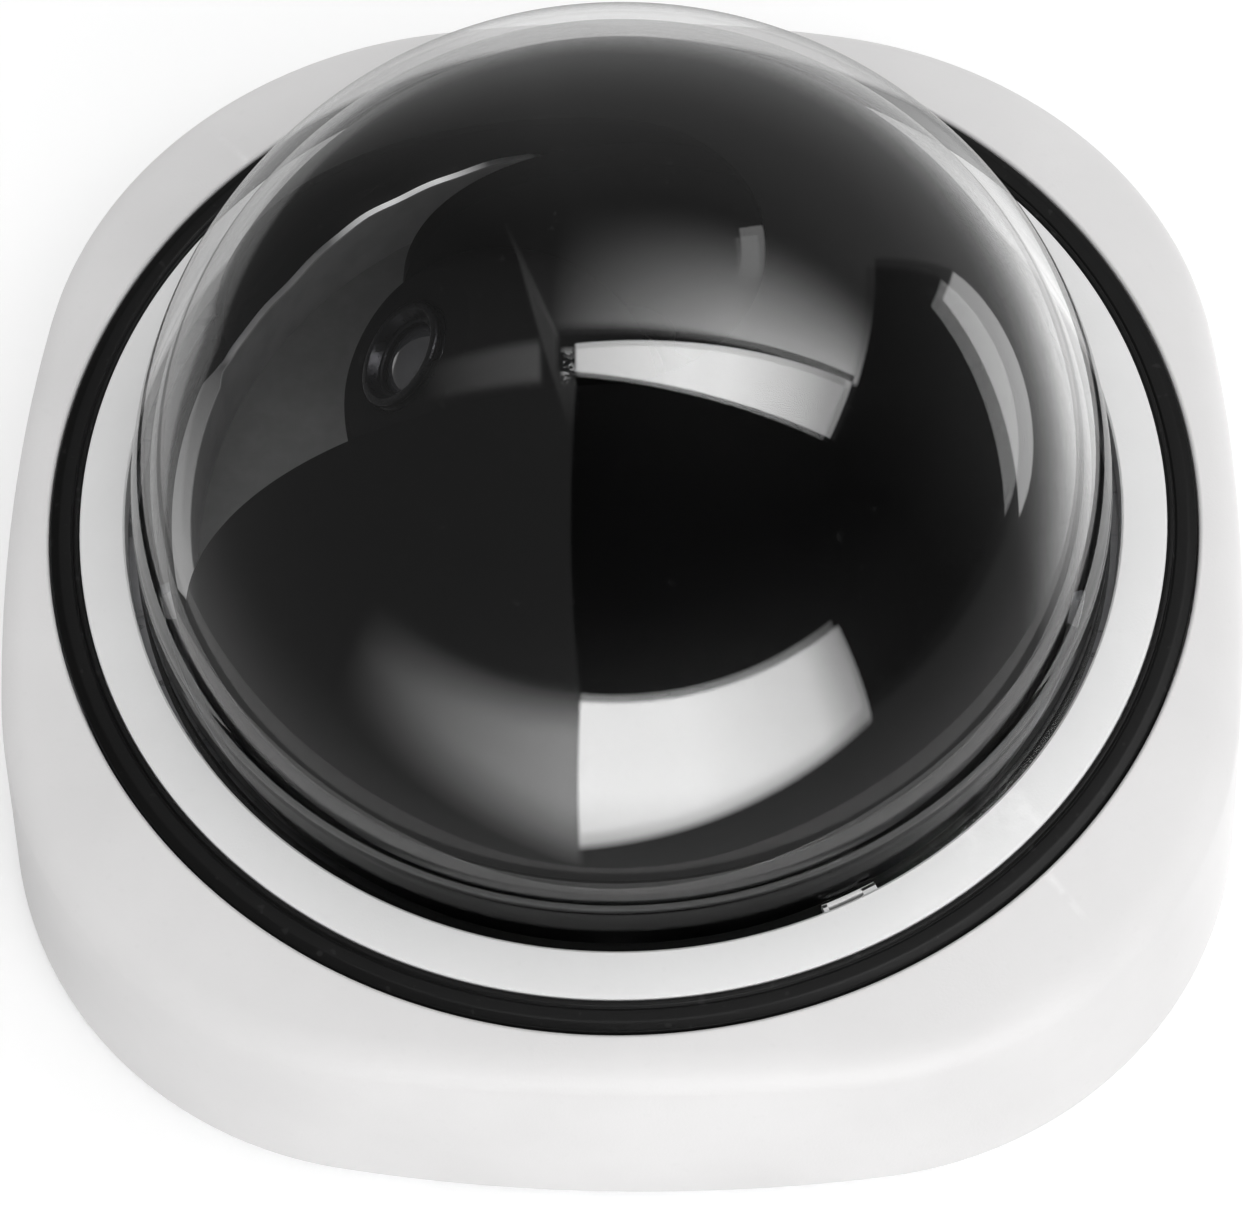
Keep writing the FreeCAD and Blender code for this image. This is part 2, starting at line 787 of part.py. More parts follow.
def make_sensor_ribbon(table_top):
    """A flat flexible lead, folded like a concertina inside the hub."""
    body = doc.addObject("PartDesign::Body", "ribbon_body")
    sketch = new_sketch(body, "XZ_Plane")
    low = size("board_bottom") + size("board_thickness") + 2.1
    thick = 0.5
    folds = 5
    step = (table_top.number + 0.8 - low.number) / folds
    reach = 3.0
    left, right = [], []
    for i in range(folds + 1):
        x = 0.0 if i in (0, folds) else reach * (-1) ** i
        left.append((as_size(x - thick), low + i * step))
        right.append((as_size(x + thick), low + i * step))
    outline(sketch, right + left[::-1])
    pad = body.newObject("PartDesign::Pad", "ribbon_pad")
    pad.Profile = sketch
    pad.Length = 8
    pad.SideType = "Symmetric"
    finished(body, "sensor_ribbon")


# ---------------------------------------------------------------- black liner and its sleeve

LINE_DEPTH = 0.35
LINE_WIDTH = 0.4
BAND_CHAMFER = 0.25


def make_liner(table_top):
    radius, wall, centre = size("liner_radius"), size("liner_wall"), size("dome_centre")
    inner = radius - wall
    band, band_top = size("liner_band_radius"), size("liner_band_top")
    line = size("liner_line_height")
    line_top = line + LINE_WIDTH

    def sphere_radius(height):
        return math.sqrt(radius.number ** 2 - (height.number - centre.number) ** 2)

    zero = as_size(0)
    groove_radius = as_size(sphere_radius(line) - LINE_DEPTH)
    body = turned("liner_body", [
        (inner, table_top),
        (band, table_top),
        (band, band_top - BAND_CHAMFER),
        (band - BAND_CHAMFER, band_top),
        (sphere_radius(band_top), band_top),
        (sphere_radius(line), line),
        (groove_radius, line),
        (groove_radius, line_top),
        (sphere_radius(line_top), line_top),
        (zero, centre.number + radius.number),
        (zero, centre.number + inner.number),
        (inner, centre),
    ], {
        4: (zero, centre, True),
        8: (zero, centre, True),
        10: (zero, centre, False),
    })
    slotted = cut("slotted_liner", body, [make_slot_cutter()])
    thickness, hole_bottom = size("tab_thickness"), table_top - 1
    tab_discs = [
        cylinder(size("tab_radius"), table_top, table_top + thickness, p.x, p.y)
        for p in liner_screw_places
    ]
    tabs = common("liner_tabs", [
        fuse("tab_discs", tab_discs),
        cylinder(inner + 0.5, table_top, table_top + thickness),
    ])
    holes = [
        cylinder(SMALL_SCREW_SHANK, hole_bottom, table_top + 5, p.x, p.y)
        for p in liner_screw_places
    ]
    finished(cut("liner_shape", fuse("liner_solid", [slotted, tabs]), holes), "liner")
    screws = [
        pan_head_screw(p.x, p.y, table_top + thickness, table_top - SMALL_SCREW_GRIP)
        for p in liner_screw_places
    ]
    finished(group("liner_screw_set", screws), "liner_screws")


def make_slot_cutter():
    """The lens slot: round past the middle, widening to its foot at the edge."""
    cutter = doc.addObject("PartDesign::Body", "slot_body")
    sketch = new_sketch(cutter, "XY_Plane", size("slot_bottom"))
    half, foot_half = size("slot_half_width"), size("slot_foot_half_width")
    end, foot = size("slot_end"), size("slot_foot")
    outside = foot - 11
    outline(sketch, [
        (outside, -foot_half),
        (foot, -foot_half),
        (end, -half),
        (end, half.number),
        (foot, foot_half),
        (outside, foot_half),
    ], {2: (end, as_size(0), True)})
    pad = cutter.newObject("PartDesign::Pad", "slot_pad")
    pad.Profile = sketch
    pad.Length = 60
    return cutter


def make_liner_sleeve(table_top):
    """A grey ring standing on the turntable inside the liner, notched over the liner's tabs."""
    inner = size("sleeve_inner_radius")
    wall = ring("sleeve_wall_ring", inner, inner + size("sleeve_wall"), table_top, size("sleeve_top"))
    clearance = 0.3
    notches = [
        cylinder(
            size("tab_radius") + clearance, table_top - 1,
            table_top + size("tab_thickness") + clearance, p.x, p.y,
        )
        for p in liner_screw_places
    ]
    finished(cut("sleeve_shape", wall, notches), "liner_sleeve")


# ---------------------------------------------------------------- seal, trim ring and dome

TAB_ANGLE = -63.0
TAB_SWEEP = 6.4


def make_seal_ring():
    inner, outer = size("seal_inner_radius"), size("seal_outer_radius")
    bottom, top = size("seal_bottom"), size("seal_top")
    body = turned("seal_body", [
        (inner, bottom),
        (outer, bottom),
        (outer, top - 0.75),
        (outer - 0.35, top - 0.4),
        (outer - 1.1, top - 0.22),
        (inner + 0.75, top - 0.25),
        (inner + 0.6, top - 0.4),
        (inner + 0.5, top - 0.06),
        (inner + 0.35, top),
        (inner + 0.15, top - 0.05),
        (inner, top - 0.25),
    ])
    finished(body, "seal_ring")


def make_trim_ring():
    hole, rim = size("trim_hole_radius"), size("trim_outer_radius")
    skirt, inner = size("skirt_outer_radius"), size("skirt_inner_radius")
    top, bottom = size("trim_top"), size("skirt_bottom")
    under = size("flange_top")
    body = turned("trim_body", [
        (hole, under),
        (inner, under),
        (inner, bottom),
        (skirt, bottom),
        (skirt, size("ledge_top") + 0.2),
        (rim, size("ledge_top") + 0.2),
        (rim, top - 0.85),
        (rim - 0.15, top - 0.6),
        (rim - 0.45, top - 0.42),
        (hole + 0.8, top),
        (hole + 0.35, top - 0.08),
        (hole + 0.08, top - 0.35),
        (hole, top - 0.7),
    ])
    lugs = [
        ring("lug", skirt - 0.6, size("lug_radius"), bottom, size("lug_top"),
             sweep=size("lug_angle"), start=90.0 * q - SIZES["lug_angle"] / 2 + 45)
        for q in range(4)
    ]
    tab = ring("index_tab", hole - 0.85, hole + 0.3, top - 1.3, top - 0.35,
               sweep=TAB_SWEEP, start=TAB_ANGLE - TAB_SWEEP / 2)
    finished(fuse("trim_shape", [body, tab] + lugs), "trim_ring")


def make_dome():
    outer, wall, centre = size("dome_radius"), size("dome_wall"), size("dome_centre")
    inner = outer - wall
    zero = as_size(0)
    flange = size("flange_radius")
    body = turned("dome_body", [
        (inner, size("flange_bottom")),
        (flange, size("flange_bottom")),
        (flange, size("flange_top")),
        (outer, size("flange_top")),
        (outer, centre),
        (zero, centre.number + outer.number),
        (zero, centre.number + inner.number),
        (inner, centre),
    ], {4: (zero, centre, True), 6: (zero, centre, False)})
    finished(body, "dome")
    gasket = ring("gasket_shape", size("gasket_inner_radius"), flange,
                  size("gasket_bottom"), size("flange_bottom"))
    finished(gasket, "dome_gasket")
    retainer = turned("retainer_body", [
        (size("retainer_inner_radius"), size("ledge_bottom") + 0.3),
        (size("retainer_inner_radius") + 0.3, size("ledge_bottom")),
        (size("skirt_inner_radius"), size("ledge_bottom")),
        (size("skirt_inner_radius"), size("gasket_bottom")),
        (size("retainer_inner_radius"), size("gasket_bottom")),
    ])
    finished(retainer, "dome_retainer")


# ---------------------------------------------------------------- camera head
# Built upright: the optical axis is local +Z and the tilt axis is local Y at height 0.

def aimed(item, label):
    turn = size("rest_elevation") - 90
    item.Placement = FreeCAD.Placement(
        Vector(0, 0, SIZES["tilt_height"]),
        FreeCAD.Rotation(Vector(0, 1, 0), turn.number),
    )
    bind(item, "Placement.Base.z", size("tilt_height"))
    bind(item, "Placement.Rotation.Angle", turn)
    return finished(item, label)


def make_tilt_frame():
    outer, front = size("frame_radius"), size("frame_front")
    bore = size("collar_radius") + size("running_gap")
    floor = size("collar_rear") - 0.2
    pivot = size("pivot_radius")
    cheek = size("cheek_inner")
    end = cheek + size("cheek_thickness") + 0.5
    body = turned("frame_body", [
        (as_size(4), floor - 1.6),
        (outer - 2.7, floor - 1.6),
        (outer, floor + 0.6),
        (outer, front),
        (bore, front),
        (bore, floor),
        (as_size(4), floor),
    ])
    solids = [body]
    screws = []
    for side in (-1, 1):
        for radius, near, far in ((as_size(5), outer - 1.2, cheek - 0.1), (pivot, cheek - 1, end)):
            low, high = (near, far) if side > 0 else (-far, -near)
            solids.append(cross_cylinder(radius, low, high))
        shank_near = cheek - 2
        low, high = (shank_near, end) if side > 0 else (-end, -shank_near)
        shank = cross_cylinder(1.2, low, high)
        low, high = (end, end + 1.5) if side > 0 else (-end - 1.5, -end)
        head = cross_cylinder(4.2, low, high)
        slot_low, slot_high = (end + 0.8, end + 3) if side > 0 else (-end - 3, -end - 0.8)
        slot = block((-5, slot_low, -0.4), (5, slot_high, 0.4))
        screws.append(cut("tilt_screw", fuse("tilt_screw_body", [shank, head]), [slot]))
    holes = [
        cross_cylinder(1.2, cheek - 2, end + 1),
        cross_cylinder(1.2, -end - 1, -cheek + 2),
    ]
    aimed(cut("frame_shape", fuse("frame_solid", solids), holes), "tilt_frame")
    aimed(group("tilt_screw_set", screws), "tilt_screws")


def make_ball():
    outer, wall, centre = size("ball_radius"), size("ball_wall"), size("ball_centre")
    inner = outer - wall
    zero = as_size(0)
    collar = size("collar_radius")
    collar_inner = collar - wall
    rear, front = size("collar_rear"), size("collar_front")
    rear_outer = math.sqrt(outer.number ** 2 - (centre.number - front.number) ** 2)
    rear_inner = centre.number - math.sqrt(inner.number ** 2 - collar_inner.number ** 2)
    back = turned("ball_rear_body", [
        (collar_inner, rear),
        (collar, rear),
        (collar, front),
        (rear_outer, front),
        (outer, centre),
        (inner, centre),
        (collar_inner, rear_inner),
    ], {3: (zero, centre, True), 5: (zero, centre, False)})
    aimed(back, "ball_rear")

    face = size("ball_face")
    hole = size("nose_radius") + 0.2
    inner_face = face - 1.6
    reach = math.sqrt(inner.number ** 2 - (inner_face.number - centre.number) ** 2)
    chamfer = 0.35
    shell = turned("ball_front_body", [
        (inner, centre),
        (outer, centre),
        (size("ball_face_radius"), face.number - chamfer),
        (size("ball_face_radius") - chamfer, face),
        (hole + 0.3, face),
        (hole, face - 0.3),
        (hole, inner_face),
        (reach, inner_face),
    ], {1: (zero, centre, True), 7: (zero, centre, False)})
    aimed(shell, "ball_front")


def make_sensor_stack():
    rear, radius = size("sensor_board_rear"), size("sensor_board_radius")
    top = rear + 1
    screw_spots = [(5.6, 5.6), (-5.6, -5.6)]
    disc = cylinder(radius, rear, top)
    holes = [cylinder(0.8, rear - 1, top + 1, x, y) for x, y in screw_spots]
    aimed(cut("sensor_board_shape", disc, holes), "sensor_board")
    aimed(block((-3.6, -3.1, top), (3.6, 3.1, top + 1.0)), "image_sensor")

    front, sleeve = size("holder_front"), size("holder_radius")
    shelf = top + 1.5
    filter_top = shelf + 0.8
    base = block((-7, -7, top), (7, 7, filter_top + 1.2))
    tube = cylinder(sleeve, top + 1, front)
    bore = size("thread_radius") + size("running_gap")
    tools = [
        block((-4.6, -4.1, top - 1), (4.6, 4.1, shelf)),
        cylinder(3.6, shelf - 1, shelf + 0.3),
        cylinder(4.4, shelf + 0.25, filter_top),
        cylinder(bore, filter_top, front + 1),
    ]
    tools += [cylinder(0.8, top - 1, top + 2, x, y) for x, y in screw_spots]
    aimed(cut("holder_shape", fuse("holder_solid", [base, tube]), tools), "lens_holder")
    aimed(cylinder(4.4, shelf + 0.3, filter_top - 0.1), "infrared_filter")

    def board_screw(x, y):
        return fuse("tiny_screw", [
            cylinder(0.8, rear, top + 1.8, x, y),
            cylinder(1.5, rear - 0.8, rear, x, y),
        ])

    aimed(group("holder_screw_set", [board_screw(x, y) for x, y in screw_spots]), "holder_screws")

    nut = cylinder(sleeve + 0.6, front + 0.05, front + 1.7)
    flutes = [cylinder(0.5, front - 1, front + 3, p.x, p.y)
              for p in around(18, SIZES["holder_radius"] + 0.75)]
    flutes.append(cylinder(bore, front - 1, front + 3))
    aimed(cut("lock_ring_shape", nut, flutes), "lens_lock_ring")


def make_lens():
    rear, thread = size("barrel_rear"), size("thread_radius")
    nose, front = size("nose_radius"), size("nose_front")
    glass, seat = size("glass_radius"), size("glass_rear")
    shoulder = size("holder_front") + 2.2
    barrel = turned("barrel_body", [
        (as_size(3), rear),
        (thread, rear),
        (thread, shoulder),
        (nose - 0.2, shoulder + 0.6),
        (nose, shoulder + 1.0),
        (nose, front - 1.05),
        (nose - 0.3, front - 0.95),
        (nose - 0.3, front - 0.65),
        (nose, front - 0.55),
        (nose, front - 0.3),
        (nose - 0.3, front),
        (nose - 0.75, front),
        (glass, front - 0.9),
        (glass, seat),
        (as_size(2.2), seat),
        (as_size(2.2), rear + 3),
        (as_size(3), rear + 3),
    ])
    aimed(barrel, "lens_barrel")

    zero = as_size(0)
    edge = seat + 1.0
    sag = 1.1
    curve = (glass.number ** 2 + sag ** 2) / (2 * sag)
    element = turned("front_glass_body", [
        (zero, seat),
        (glass, seat),
        (glass, edge),
        (zero, edge.number + sag),
    ], {2: (zero, edge + sag - curve, True)})
    aimed(element, "front_element")

    clamp = turned("clamp_body", [
        (as_size(3.15), edge + 0.52),
        (glass, edge + 0.1),
        (glass, front - 0.95),
        (as_size(3.45), front - 0.95),
        (as_size(3.15), front - 1.2),
    ])
    aimed(clamp, "lens_clamp_ring")

    back_glass = turned("rear_glass_body", [
        (zero, rear + 0.3),
        (as_size(1.6), rear + 0.4),
        (as_size(3), rear + 0.9),
        (as_size(3), rear + 2.6),
        (zero, rear + 2.6),
    ])
    aimed(back_glass, "rear_element")


# ---------------------------------------------------------------- build, check and write

make_mounting_plate()
make_housing()
make_base_fasteners()
make_cable_grommet()
make_main_board()
carrier_top = make_pan_carrier()
table_top = make_turntable(carrier_top)
make_yoke(table_top)
make_sensor_ribbon(table_top)
make_liner(table_top)
make_liner_sleeve(table_top)
make_seal_ring()
make_trim_ring()
make_dome()
make_tilt_frame()
make_ball()
make_sensor_stack()
make_lens()
doc.recompute()

faults = [
    f"{item.Name}: {item.State}" for item in doc.Objects
    if "Invalid" in item.State or "Error" in item.State
]
for item in PARTS:
    shape = item.Shape
    if shape.isNull() or not shape.isValid() or not shape.Solids:
        faults.append(f"{item.Label}: no valid solid")
    if any(solid.Volume <= 0 for solid in shape.Solids):
        faults.append(f"{item.Label}: an empty or inside-out solid")
if faults:
    raise RuntimeError("; ".join(faults))

os.makedirs("parts", exist_ok=True)
for item in PARTS:
    item.Shape.exportStep(os.path.join("parts", item.Label + ".step"))
    box = item.Shape.BoundBox
    print(f"{item.Label:18s} {len(item.Shape.Solids)} solids  {item.Shape.Volume:10.1f} mm3  "
          f"x {box.XMin:.1f}..{box.XMax:.1f}  y {box.YMin:.1f}..{box.YMax:.1f}  "
          f"z {box.ZMin:.1f}..{box.ZMax:.1f}")
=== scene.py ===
import json
import math

import bmesh
import bpy
from mathutils import Matrix, Quaternion, Vector


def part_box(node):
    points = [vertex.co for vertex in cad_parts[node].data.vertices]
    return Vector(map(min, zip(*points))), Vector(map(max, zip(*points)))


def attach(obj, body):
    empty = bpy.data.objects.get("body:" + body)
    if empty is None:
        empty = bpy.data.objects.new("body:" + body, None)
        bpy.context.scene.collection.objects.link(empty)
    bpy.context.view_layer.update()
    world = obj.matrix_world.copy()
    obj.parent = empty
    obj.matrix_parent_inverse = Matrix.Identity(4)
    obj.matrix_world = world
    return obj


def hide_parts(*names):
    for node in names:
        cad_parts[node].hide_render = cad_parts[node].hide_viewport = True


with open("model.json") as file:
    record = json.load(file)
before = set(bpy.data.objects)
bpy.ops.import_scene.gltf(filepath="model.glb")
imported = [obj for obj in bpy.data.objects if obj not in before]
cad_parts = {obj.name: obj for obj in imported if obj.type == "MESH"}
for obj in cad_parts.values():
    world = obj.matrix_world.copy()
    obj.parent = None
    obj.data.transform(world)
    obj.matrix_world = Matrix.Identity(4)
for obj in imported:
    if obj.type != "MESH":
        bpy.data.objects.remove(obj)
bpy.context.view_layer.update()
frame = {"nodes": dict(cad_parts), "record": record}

MM = 0.001
FINE = 240      # steps round a turned piece


# ------------------------------------------------------------------ sizes taken from the frame

def corner(node, high, axis):
    """One coordinate of a CAD node's box, in metres."""
    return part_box(node)[1 if high else 0][axis]


DOME_TOP = corner("dome", True, 2)
FLANGE_RADIUS = corner("dome", True, 0)
FLANGE_BOTTOM = corner("dome", False, 2)
HOUSING_HALF = 62.5 * MM
HOUSING_BOTTOM = corner("housing", False, 2)
HOUSING_TOP = corner("housing", True, 2)
SEAL_RADIUS = corner("seal_ring", True, 0)
SEAL_BOTTOM = corner("seal_ring", False, 2)
SEAL_TOP = corner("seal_ring", True, 2)
TRIM_TOP = corner("trim_ring", True, 2)
SKIRT_BOTTOM = corner("trim_ring", False, 2)
LINER_BOTTOM = corner("liner", False, 2)

DOME_RADIUS = 47.2 * MM
DOME_CENTRE = DOME_TOP - DOME_RADIUS
DOME_WALL = 1.6 * MM      # thinner than in the CAD, since this shader doesn't bend light
TILT_HEIGHT = 29.5 * MM
REST_ELEVATION = math.radians(45)
OPTICAL_AXIS = Vector((-math.cos(REST_ELEVATION), 0, math.sin(REST_ELEVATION)))


# ------------------------------------------------------------------ mesh helpers

def new_object(name, mesh):
    piece = bpy.data.objects.new(name, mesh)
    bpy.context.scene.collection.objects.link(piece)
    return piece


def smooth(mesh, sharp_degrees=35):
    mesh.shade_smooth()
    mesh.set_sharp_from_angle(angle=math.radians(sharp_degrees))


def rounded(points, radii, steps=6):
    """A closed (radius, height) outline with its corners rounded by the given radii."""
    result = []
    count = len(points)
    for i, here in enumerate(points):
        here = Vector(here)
        before = Vector(points[i - 1])
        after = Vector(points[(i + 1) % count])
        radius = radii.get(i, 0)
        if not radius:
            result.append(tuple(here))
            continue
        to_before = (before - here).normalized()
        to_after = (after - here).normalized()
        half = to_before.angle(to_after) / 2
        reach = radius / math.tan(half)
        centre = here + (to_before + to_after).normalized() * radius / math.sin(half)
        start = here + to_before * reach
        finish = here + to_after * reach
        for step in range(steps + 1):
            t = step / steps
            blend = (start.lerp(finish, t) - centre).normalized()
            result.append(tuple(centre + blend * radius))
    return result


def arc(centre_height, radius, start, finish, steps):
    """Points (radius, height) on a circle about (0, centre_height), angles above the horizon."""
    for step in range(steps + 1):
        angle = start + (finish - start) * step / steps
        yield radius * math.cos(angle), centre_height + radius * math.sin(angle)


def vertices_at(bm, angle, profile):
    """A (radius, height) profile's vertices at one angle round the axis."""
    return [bm.verts.new((r * math.cos(angle), r * math.sin(angle), h)) for r, h in profile]


def skin(bm, loops):
    """Faces between each loop of vertices and the next one."""
    for near, far in zip(loops, loops[1:]):
        for k in range(len(near)):
            m = (k + 1) % len(near)
            bm.faces.new((near[k], far[k], far[m], near[m]))


def finished_mesh(name, bm, sharp_degrees):
    bmesh.ops.recalc_face_normals(bm, faces=bm.faces)
    mesh = bpy.data.meshes.new(name)
    bm.to_mesh(mesh)
    bm.free()
    smooth(mesh, sharp_degrees)
    return mesh


def turned_mesh(name, profile, steps=FINE, sharp_degrees=35):
    """Turns a closed (radius, height) profile about Z.  Points on the axis become one vertex."""
    bm = bmesh.new()
    rings = []
    for radius, height in profile:
        if radius < 1e-7:
            rings.append([bm.verts.new((0, 0, height))])
            continue
        rings.append([
            bm.verts.new((
                radius * math.cos(2 * math.pi * i / steps),
                radius * math.sin(2 * math.pi * i / steps),
                height,
            ))
            for i in range(steps)
        ])
    for k, low in enumerate(rings):
        high = rings[(k + 1) % len(rings)]
        if len(low) == 1 and len(high) == 1:
            continue
        for i in range(steps):
            j = (i + 1) % steps
            if len(low) == 1:
                bm.faces.new((low[0], high[j], high[i]))
            elif len(high) == 1:
                bm.faces.new((low[i], low[j], high[0]))
            else:
                bm.faces.new((low[i], low[j], high[j], high[i]))
    return finished_mesh(name, bm, sharp_degrees)


def stand_in(piece, node, body, material):
    """The piece is shown in place of a CAD node and rides on that node's body."""
    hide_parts(node)
    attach(piece, body)
    piece.data.materials.clear()
    piece.data.materials.append(material)
    return piece


def aim(mesh):
    """Moves a mesh built along +Z onto the resting optical axis."""
    turn = OPTICAL_AXIS.to_track_quat("Z", "Y").to_matrix().to_4x4()
    mesh.transform(turn)
    mesh.transform(Matrix.Translation((0, 0, TILT_HEIGHT)))
    return mesh


# ------------------------------------------------------------------ material helpers

class Nodes:
    """A short way to write a shader node tree."""

    def __init__(self, name):
        self.material = bpy.data.materials.new(name)
        self.material.use_nodes = True
        self.tree = self.material.node_tree
        self.tree.nodes.clear()
        self.output = self.add("ShaderNodeOutputMaterial")
        self.place = self.add("ShaderNodeTexCoord").outputs["Object"]

    def add(self, kind, **settings):
        node = self.tree.nodes.new(kind)
        for key, value in settings.items():
            setattr(node, key, value)
        return node

    def join(self, source, target):
        self.tree.links.new(source, target)

    def put(self, socket, value):
        if isinstance(value, bpy.types.NodeSocket):
            self.join(value, socket)
        else:
            socket.default_value = value

    def noise(self, per_mm, detail=3.0, rough=0.5, stretch=None):
        """Noise with about per_mm features to the millimetre."""
        vector = self.place
        if stretch:
            mapping = self.add("ShaderNodeMapping")
            self.join(vector, mapping.inputs["Vector"])
            mapping.inputs["Scale"].default_value = stretch
            vector = mapping.outputs["Vector"]
        node = self.add("ShaderNodeTexNoise")
        self.join(vector, node.inputs["Vector"])
        node.inputs["Scale"].default_value = per_mm / MM
        node.inputs["Detail"].default_value = detail
        node.inputs["Roughness"].default_value = rough
        return node.outputs["Fac"]

    def span(self, value, low, high, new_low, new_high):
        node = self.add("ShaderNodeMapRange")
        node.clamp = True
        self.put(node.inputs["Value"], value)
        for key, number in (("From Min", low), ("From Max", high),
                            ("To Min", new_low), ("To Max", new_high)):
            node.inputs[key].default_value = number
        return node.outputs["Result"]

    def sum(self, *values):
        total = values[0]
        for value in values[1:]:
            total = self.math("ADD", total, value)
        return total

    def math(self, operation, a, b=0.0):
        node = self.add("ShaderNodeMath", operation=operation)
        self.put(node.inputs[0], a)
        self.put(node.inputs[1], b)
        return node.outputs[0]

    def mix_colour(self, factor, a, b):
        node = self.add("ShaderNodeMix", data_type="RGBA")
        self.put(node.inputs[0], factor)
        self.put(node.inputs[6], a)
        self.put(node.inputs[7], b)
        return node.outputs[2]

    def bump(self, height, strength, depth):
        node = self.add("ShaderNodeBump")
        self.put(node.inputs["Height"], height)
        node.inputs["Strength"].default_value = strength
        node.inputs["Distance"].default_value = depth
        return node.outputs["Normal"]

    def principled(self, **inputs):
        node = self.add("ShaderNodeBsdfPrincipled")
        for key, value in inputs.items():
            self.put(node.inputs[key.replace("_", " ")], value)
        return node

    def finish(self, shader):
        self.join(shader, self.output.inputs["Surface"])
        return self.material


def grey(level):
    return (level, level, level, 1)


def moulded(name, colour, rough, texture_mm=0.25, relief=0.02, dust=0.04, coat=0.0, gloss=0.5):
    """Moulded plastic or rubber: fine spark-eroded grain, faint mottling, dust and rubbed edges."""
    n = Nodes(name)
    mottling = n.noise(0.05, 4)
    grain = n.noise(1 / texture_mm, 2)
    fine = n.noise(3 / texture_mm, 2)
    dark = tuple(c * 0.97 for c in colour[:3]) + (1,)
    light = tuple(min(1, c * 1.02) for c in colour[:3]) + (1,)
    base = n.mix_colour(n.span(mottling, 0.35, 0.65, 0, 1), dark, light)
    specks = n.span(n.noise(0.9, 1, 0.4), 0.70, 0.76, 0, dust)
    base = n.mix_colour(specks, base, grey(0.55))
    worn = n.span(n.add("ShaderNodeNewGeometry").outputs["Pointiness"], 0.52, 0.60, 0, 0.35)
    scuffed = n.math("MULTIPLY", worn, n.span(n.noise(0.4, 5, 0.7), 0.4, 0.65, 0, 1))
    base = n.mix_colour(scuffed, base, tuple(min(1, c * 1.35) for c in colour[:3]) + (1,))
    roughness = n.sum(
        n.span(mottling, 0.3, 0.7, rough - 0.05, rough + 0.05),
        n.math("MULTIPLY", scuffed, -0.08),
    )
    height = n.sum(grain, n.math("MULTIPLY", fine, 0.4))
    shader = n.principled(
        Base_Color=base,
        Roughness=roughness,
        Normal=n.bump(height, 1.0, relief * MM),
        Coat_Weight=coat,
        Specular_IOR_Level=gloss,
    )
    return n.finish(shader.outputs[0])


def metal(name, colour, rough, brushed=(1, 1, 1), relief=0.006):
    """Metal with drawn or turned lines, mottled plating and small scratches."""
    n = Nodes(name)
    lines = n.noise(1.2, 4, 0.6, brushed)
    clouds = n.noise(0.12, 4)
    scratches = n.span(n.noise(0.8, 6, 0.75, (1, 7, 3)), 0.60, 0.63, 0, 1)
    dark = tuple(c * 0.82 for c in colour[:3]) + (1,)
    base = n.mix_colour(n.span(clouds, 0.35, 0.65, 0, 1), dark, colour)
    base = n.mix_colour(n.math("MULTIPLY", scratches, 0.3), base,
                        tuple(min(1, c * 1.25 + 0.02) for c in colour[:3]) + (1,))
    height = n.sum(lines, n.math("MULTIPLY", scratches, -0.5))
    shader = n.principled(
        Base_Color=base,
        Metallic=1.0,
        Roughness=n.span(lines, 0.3, 0.7, rough - 0.06, rough + 0.08),
        Normal=n.bump(height, 0.8, relief * MM),
    )
    return n.finish(shader.outputs[0])


HARD_COAT = 1.72         # refractive index of the dome's outer face
BARE_FACE = 1.42         # and of its inner face
FOOT_LOW = 25.0 * MM     # below FOOT_HIGH the mirror fades out towards this height, a painted shade for the dark band round the dome's foot
FOOT_HIGH = 30.8 * MM
FOOT_NEAR = -44.0 * MM   # the painted shade is full in front of this place, and nearly gone behind FOOT_FAR
FOOT_FAR = -30.0 * MM


def clear_shell(name, tint):
    """Clear polished plastic: see-through, with mirror reflections that grow towards the rim, faded
    out round the foot as a painted shade.
    """
    n = Nodes(name)
    inside = n.add("ShaderNodeNewGeometry").outputs["Backfacing"]
    fresnel = n.add("ShaderNodeFresnel")
    n.join(n.span(inside, 0, 1, HARD_COAT, 1 / BARE_FACE), fresnel.inputs["IOR"])
    smears = n.span(n.noise(0.06, 5, 0.6, (1, 1, 2.5)), 0.52, 0.72, 0, 0.0175)
    dust = n.span(n.noise(1.4, 1, 0.3), 0.74, 0.78, 0, 0.125)
    ripple = n.noise(0.035, 2)
    place = n.add("ShaderNodeSeparateXYZ")
    n.join(n.place, place.inputs[0])
    _, depth, height = place.outputs
    # painted shade: the mirror is taken away round the dome's foot, most of all in front, so the foot
    # looks dark
    painted_foot_shade = n.sum(n.span(height, FOOT_LOW, FOOT_HIGH, 0.94, 0.5),
                   n.span(height, FOOT_HIGH, FOOT_HIGH + 0.3 * MM, 0.0, -0.5))
    in_front = n.span(depth, FOOT_NEAR, FOOT_FAR, 1.0, 0.1)
    foot = n.math("SUBTRACT", 1.0, n.math("MULTIPLY", painted_foot_shade, in_front))
    clear = n.add("ShaderNodeBsdfTransparent")
    clear.inputs["Color"].default_value = tint
    mirror = n.add("ShaderNodeBsdfGlossy")
    n.join(n.sum(smears, 0.004), mirror.inputs["Roughness"])
    n.join(n.bump(ripple, 0.15, 0.05 * MM), mirror.inputs["Normal"])
    haze = n.add("ShaderNodeBsdfDiffuse")
    haze.inputs["Color"].default_value = grey(0.75)
    body = n.add("ShaderNodeMixShader")
    n.join(n.math("MULTIPLY", fresnel.outputs[0], foot), body.inputs[0])
    n.join(clear.outputs[0], body.inputs[1])
    n.join(mirror.outputs[0], body.inputs[2])
    dusty = n.add("ShaderNodeMixShader")
    n.join(n.math("MULTIPLY", dust, 0.06), dusty.inputs[0])
    n.join(body.outputs[0], dusty.inputs[1])
    n.join(haze.outputs[0], dusty.inputs[2])
    return n.finish(dusty.outputs[0])


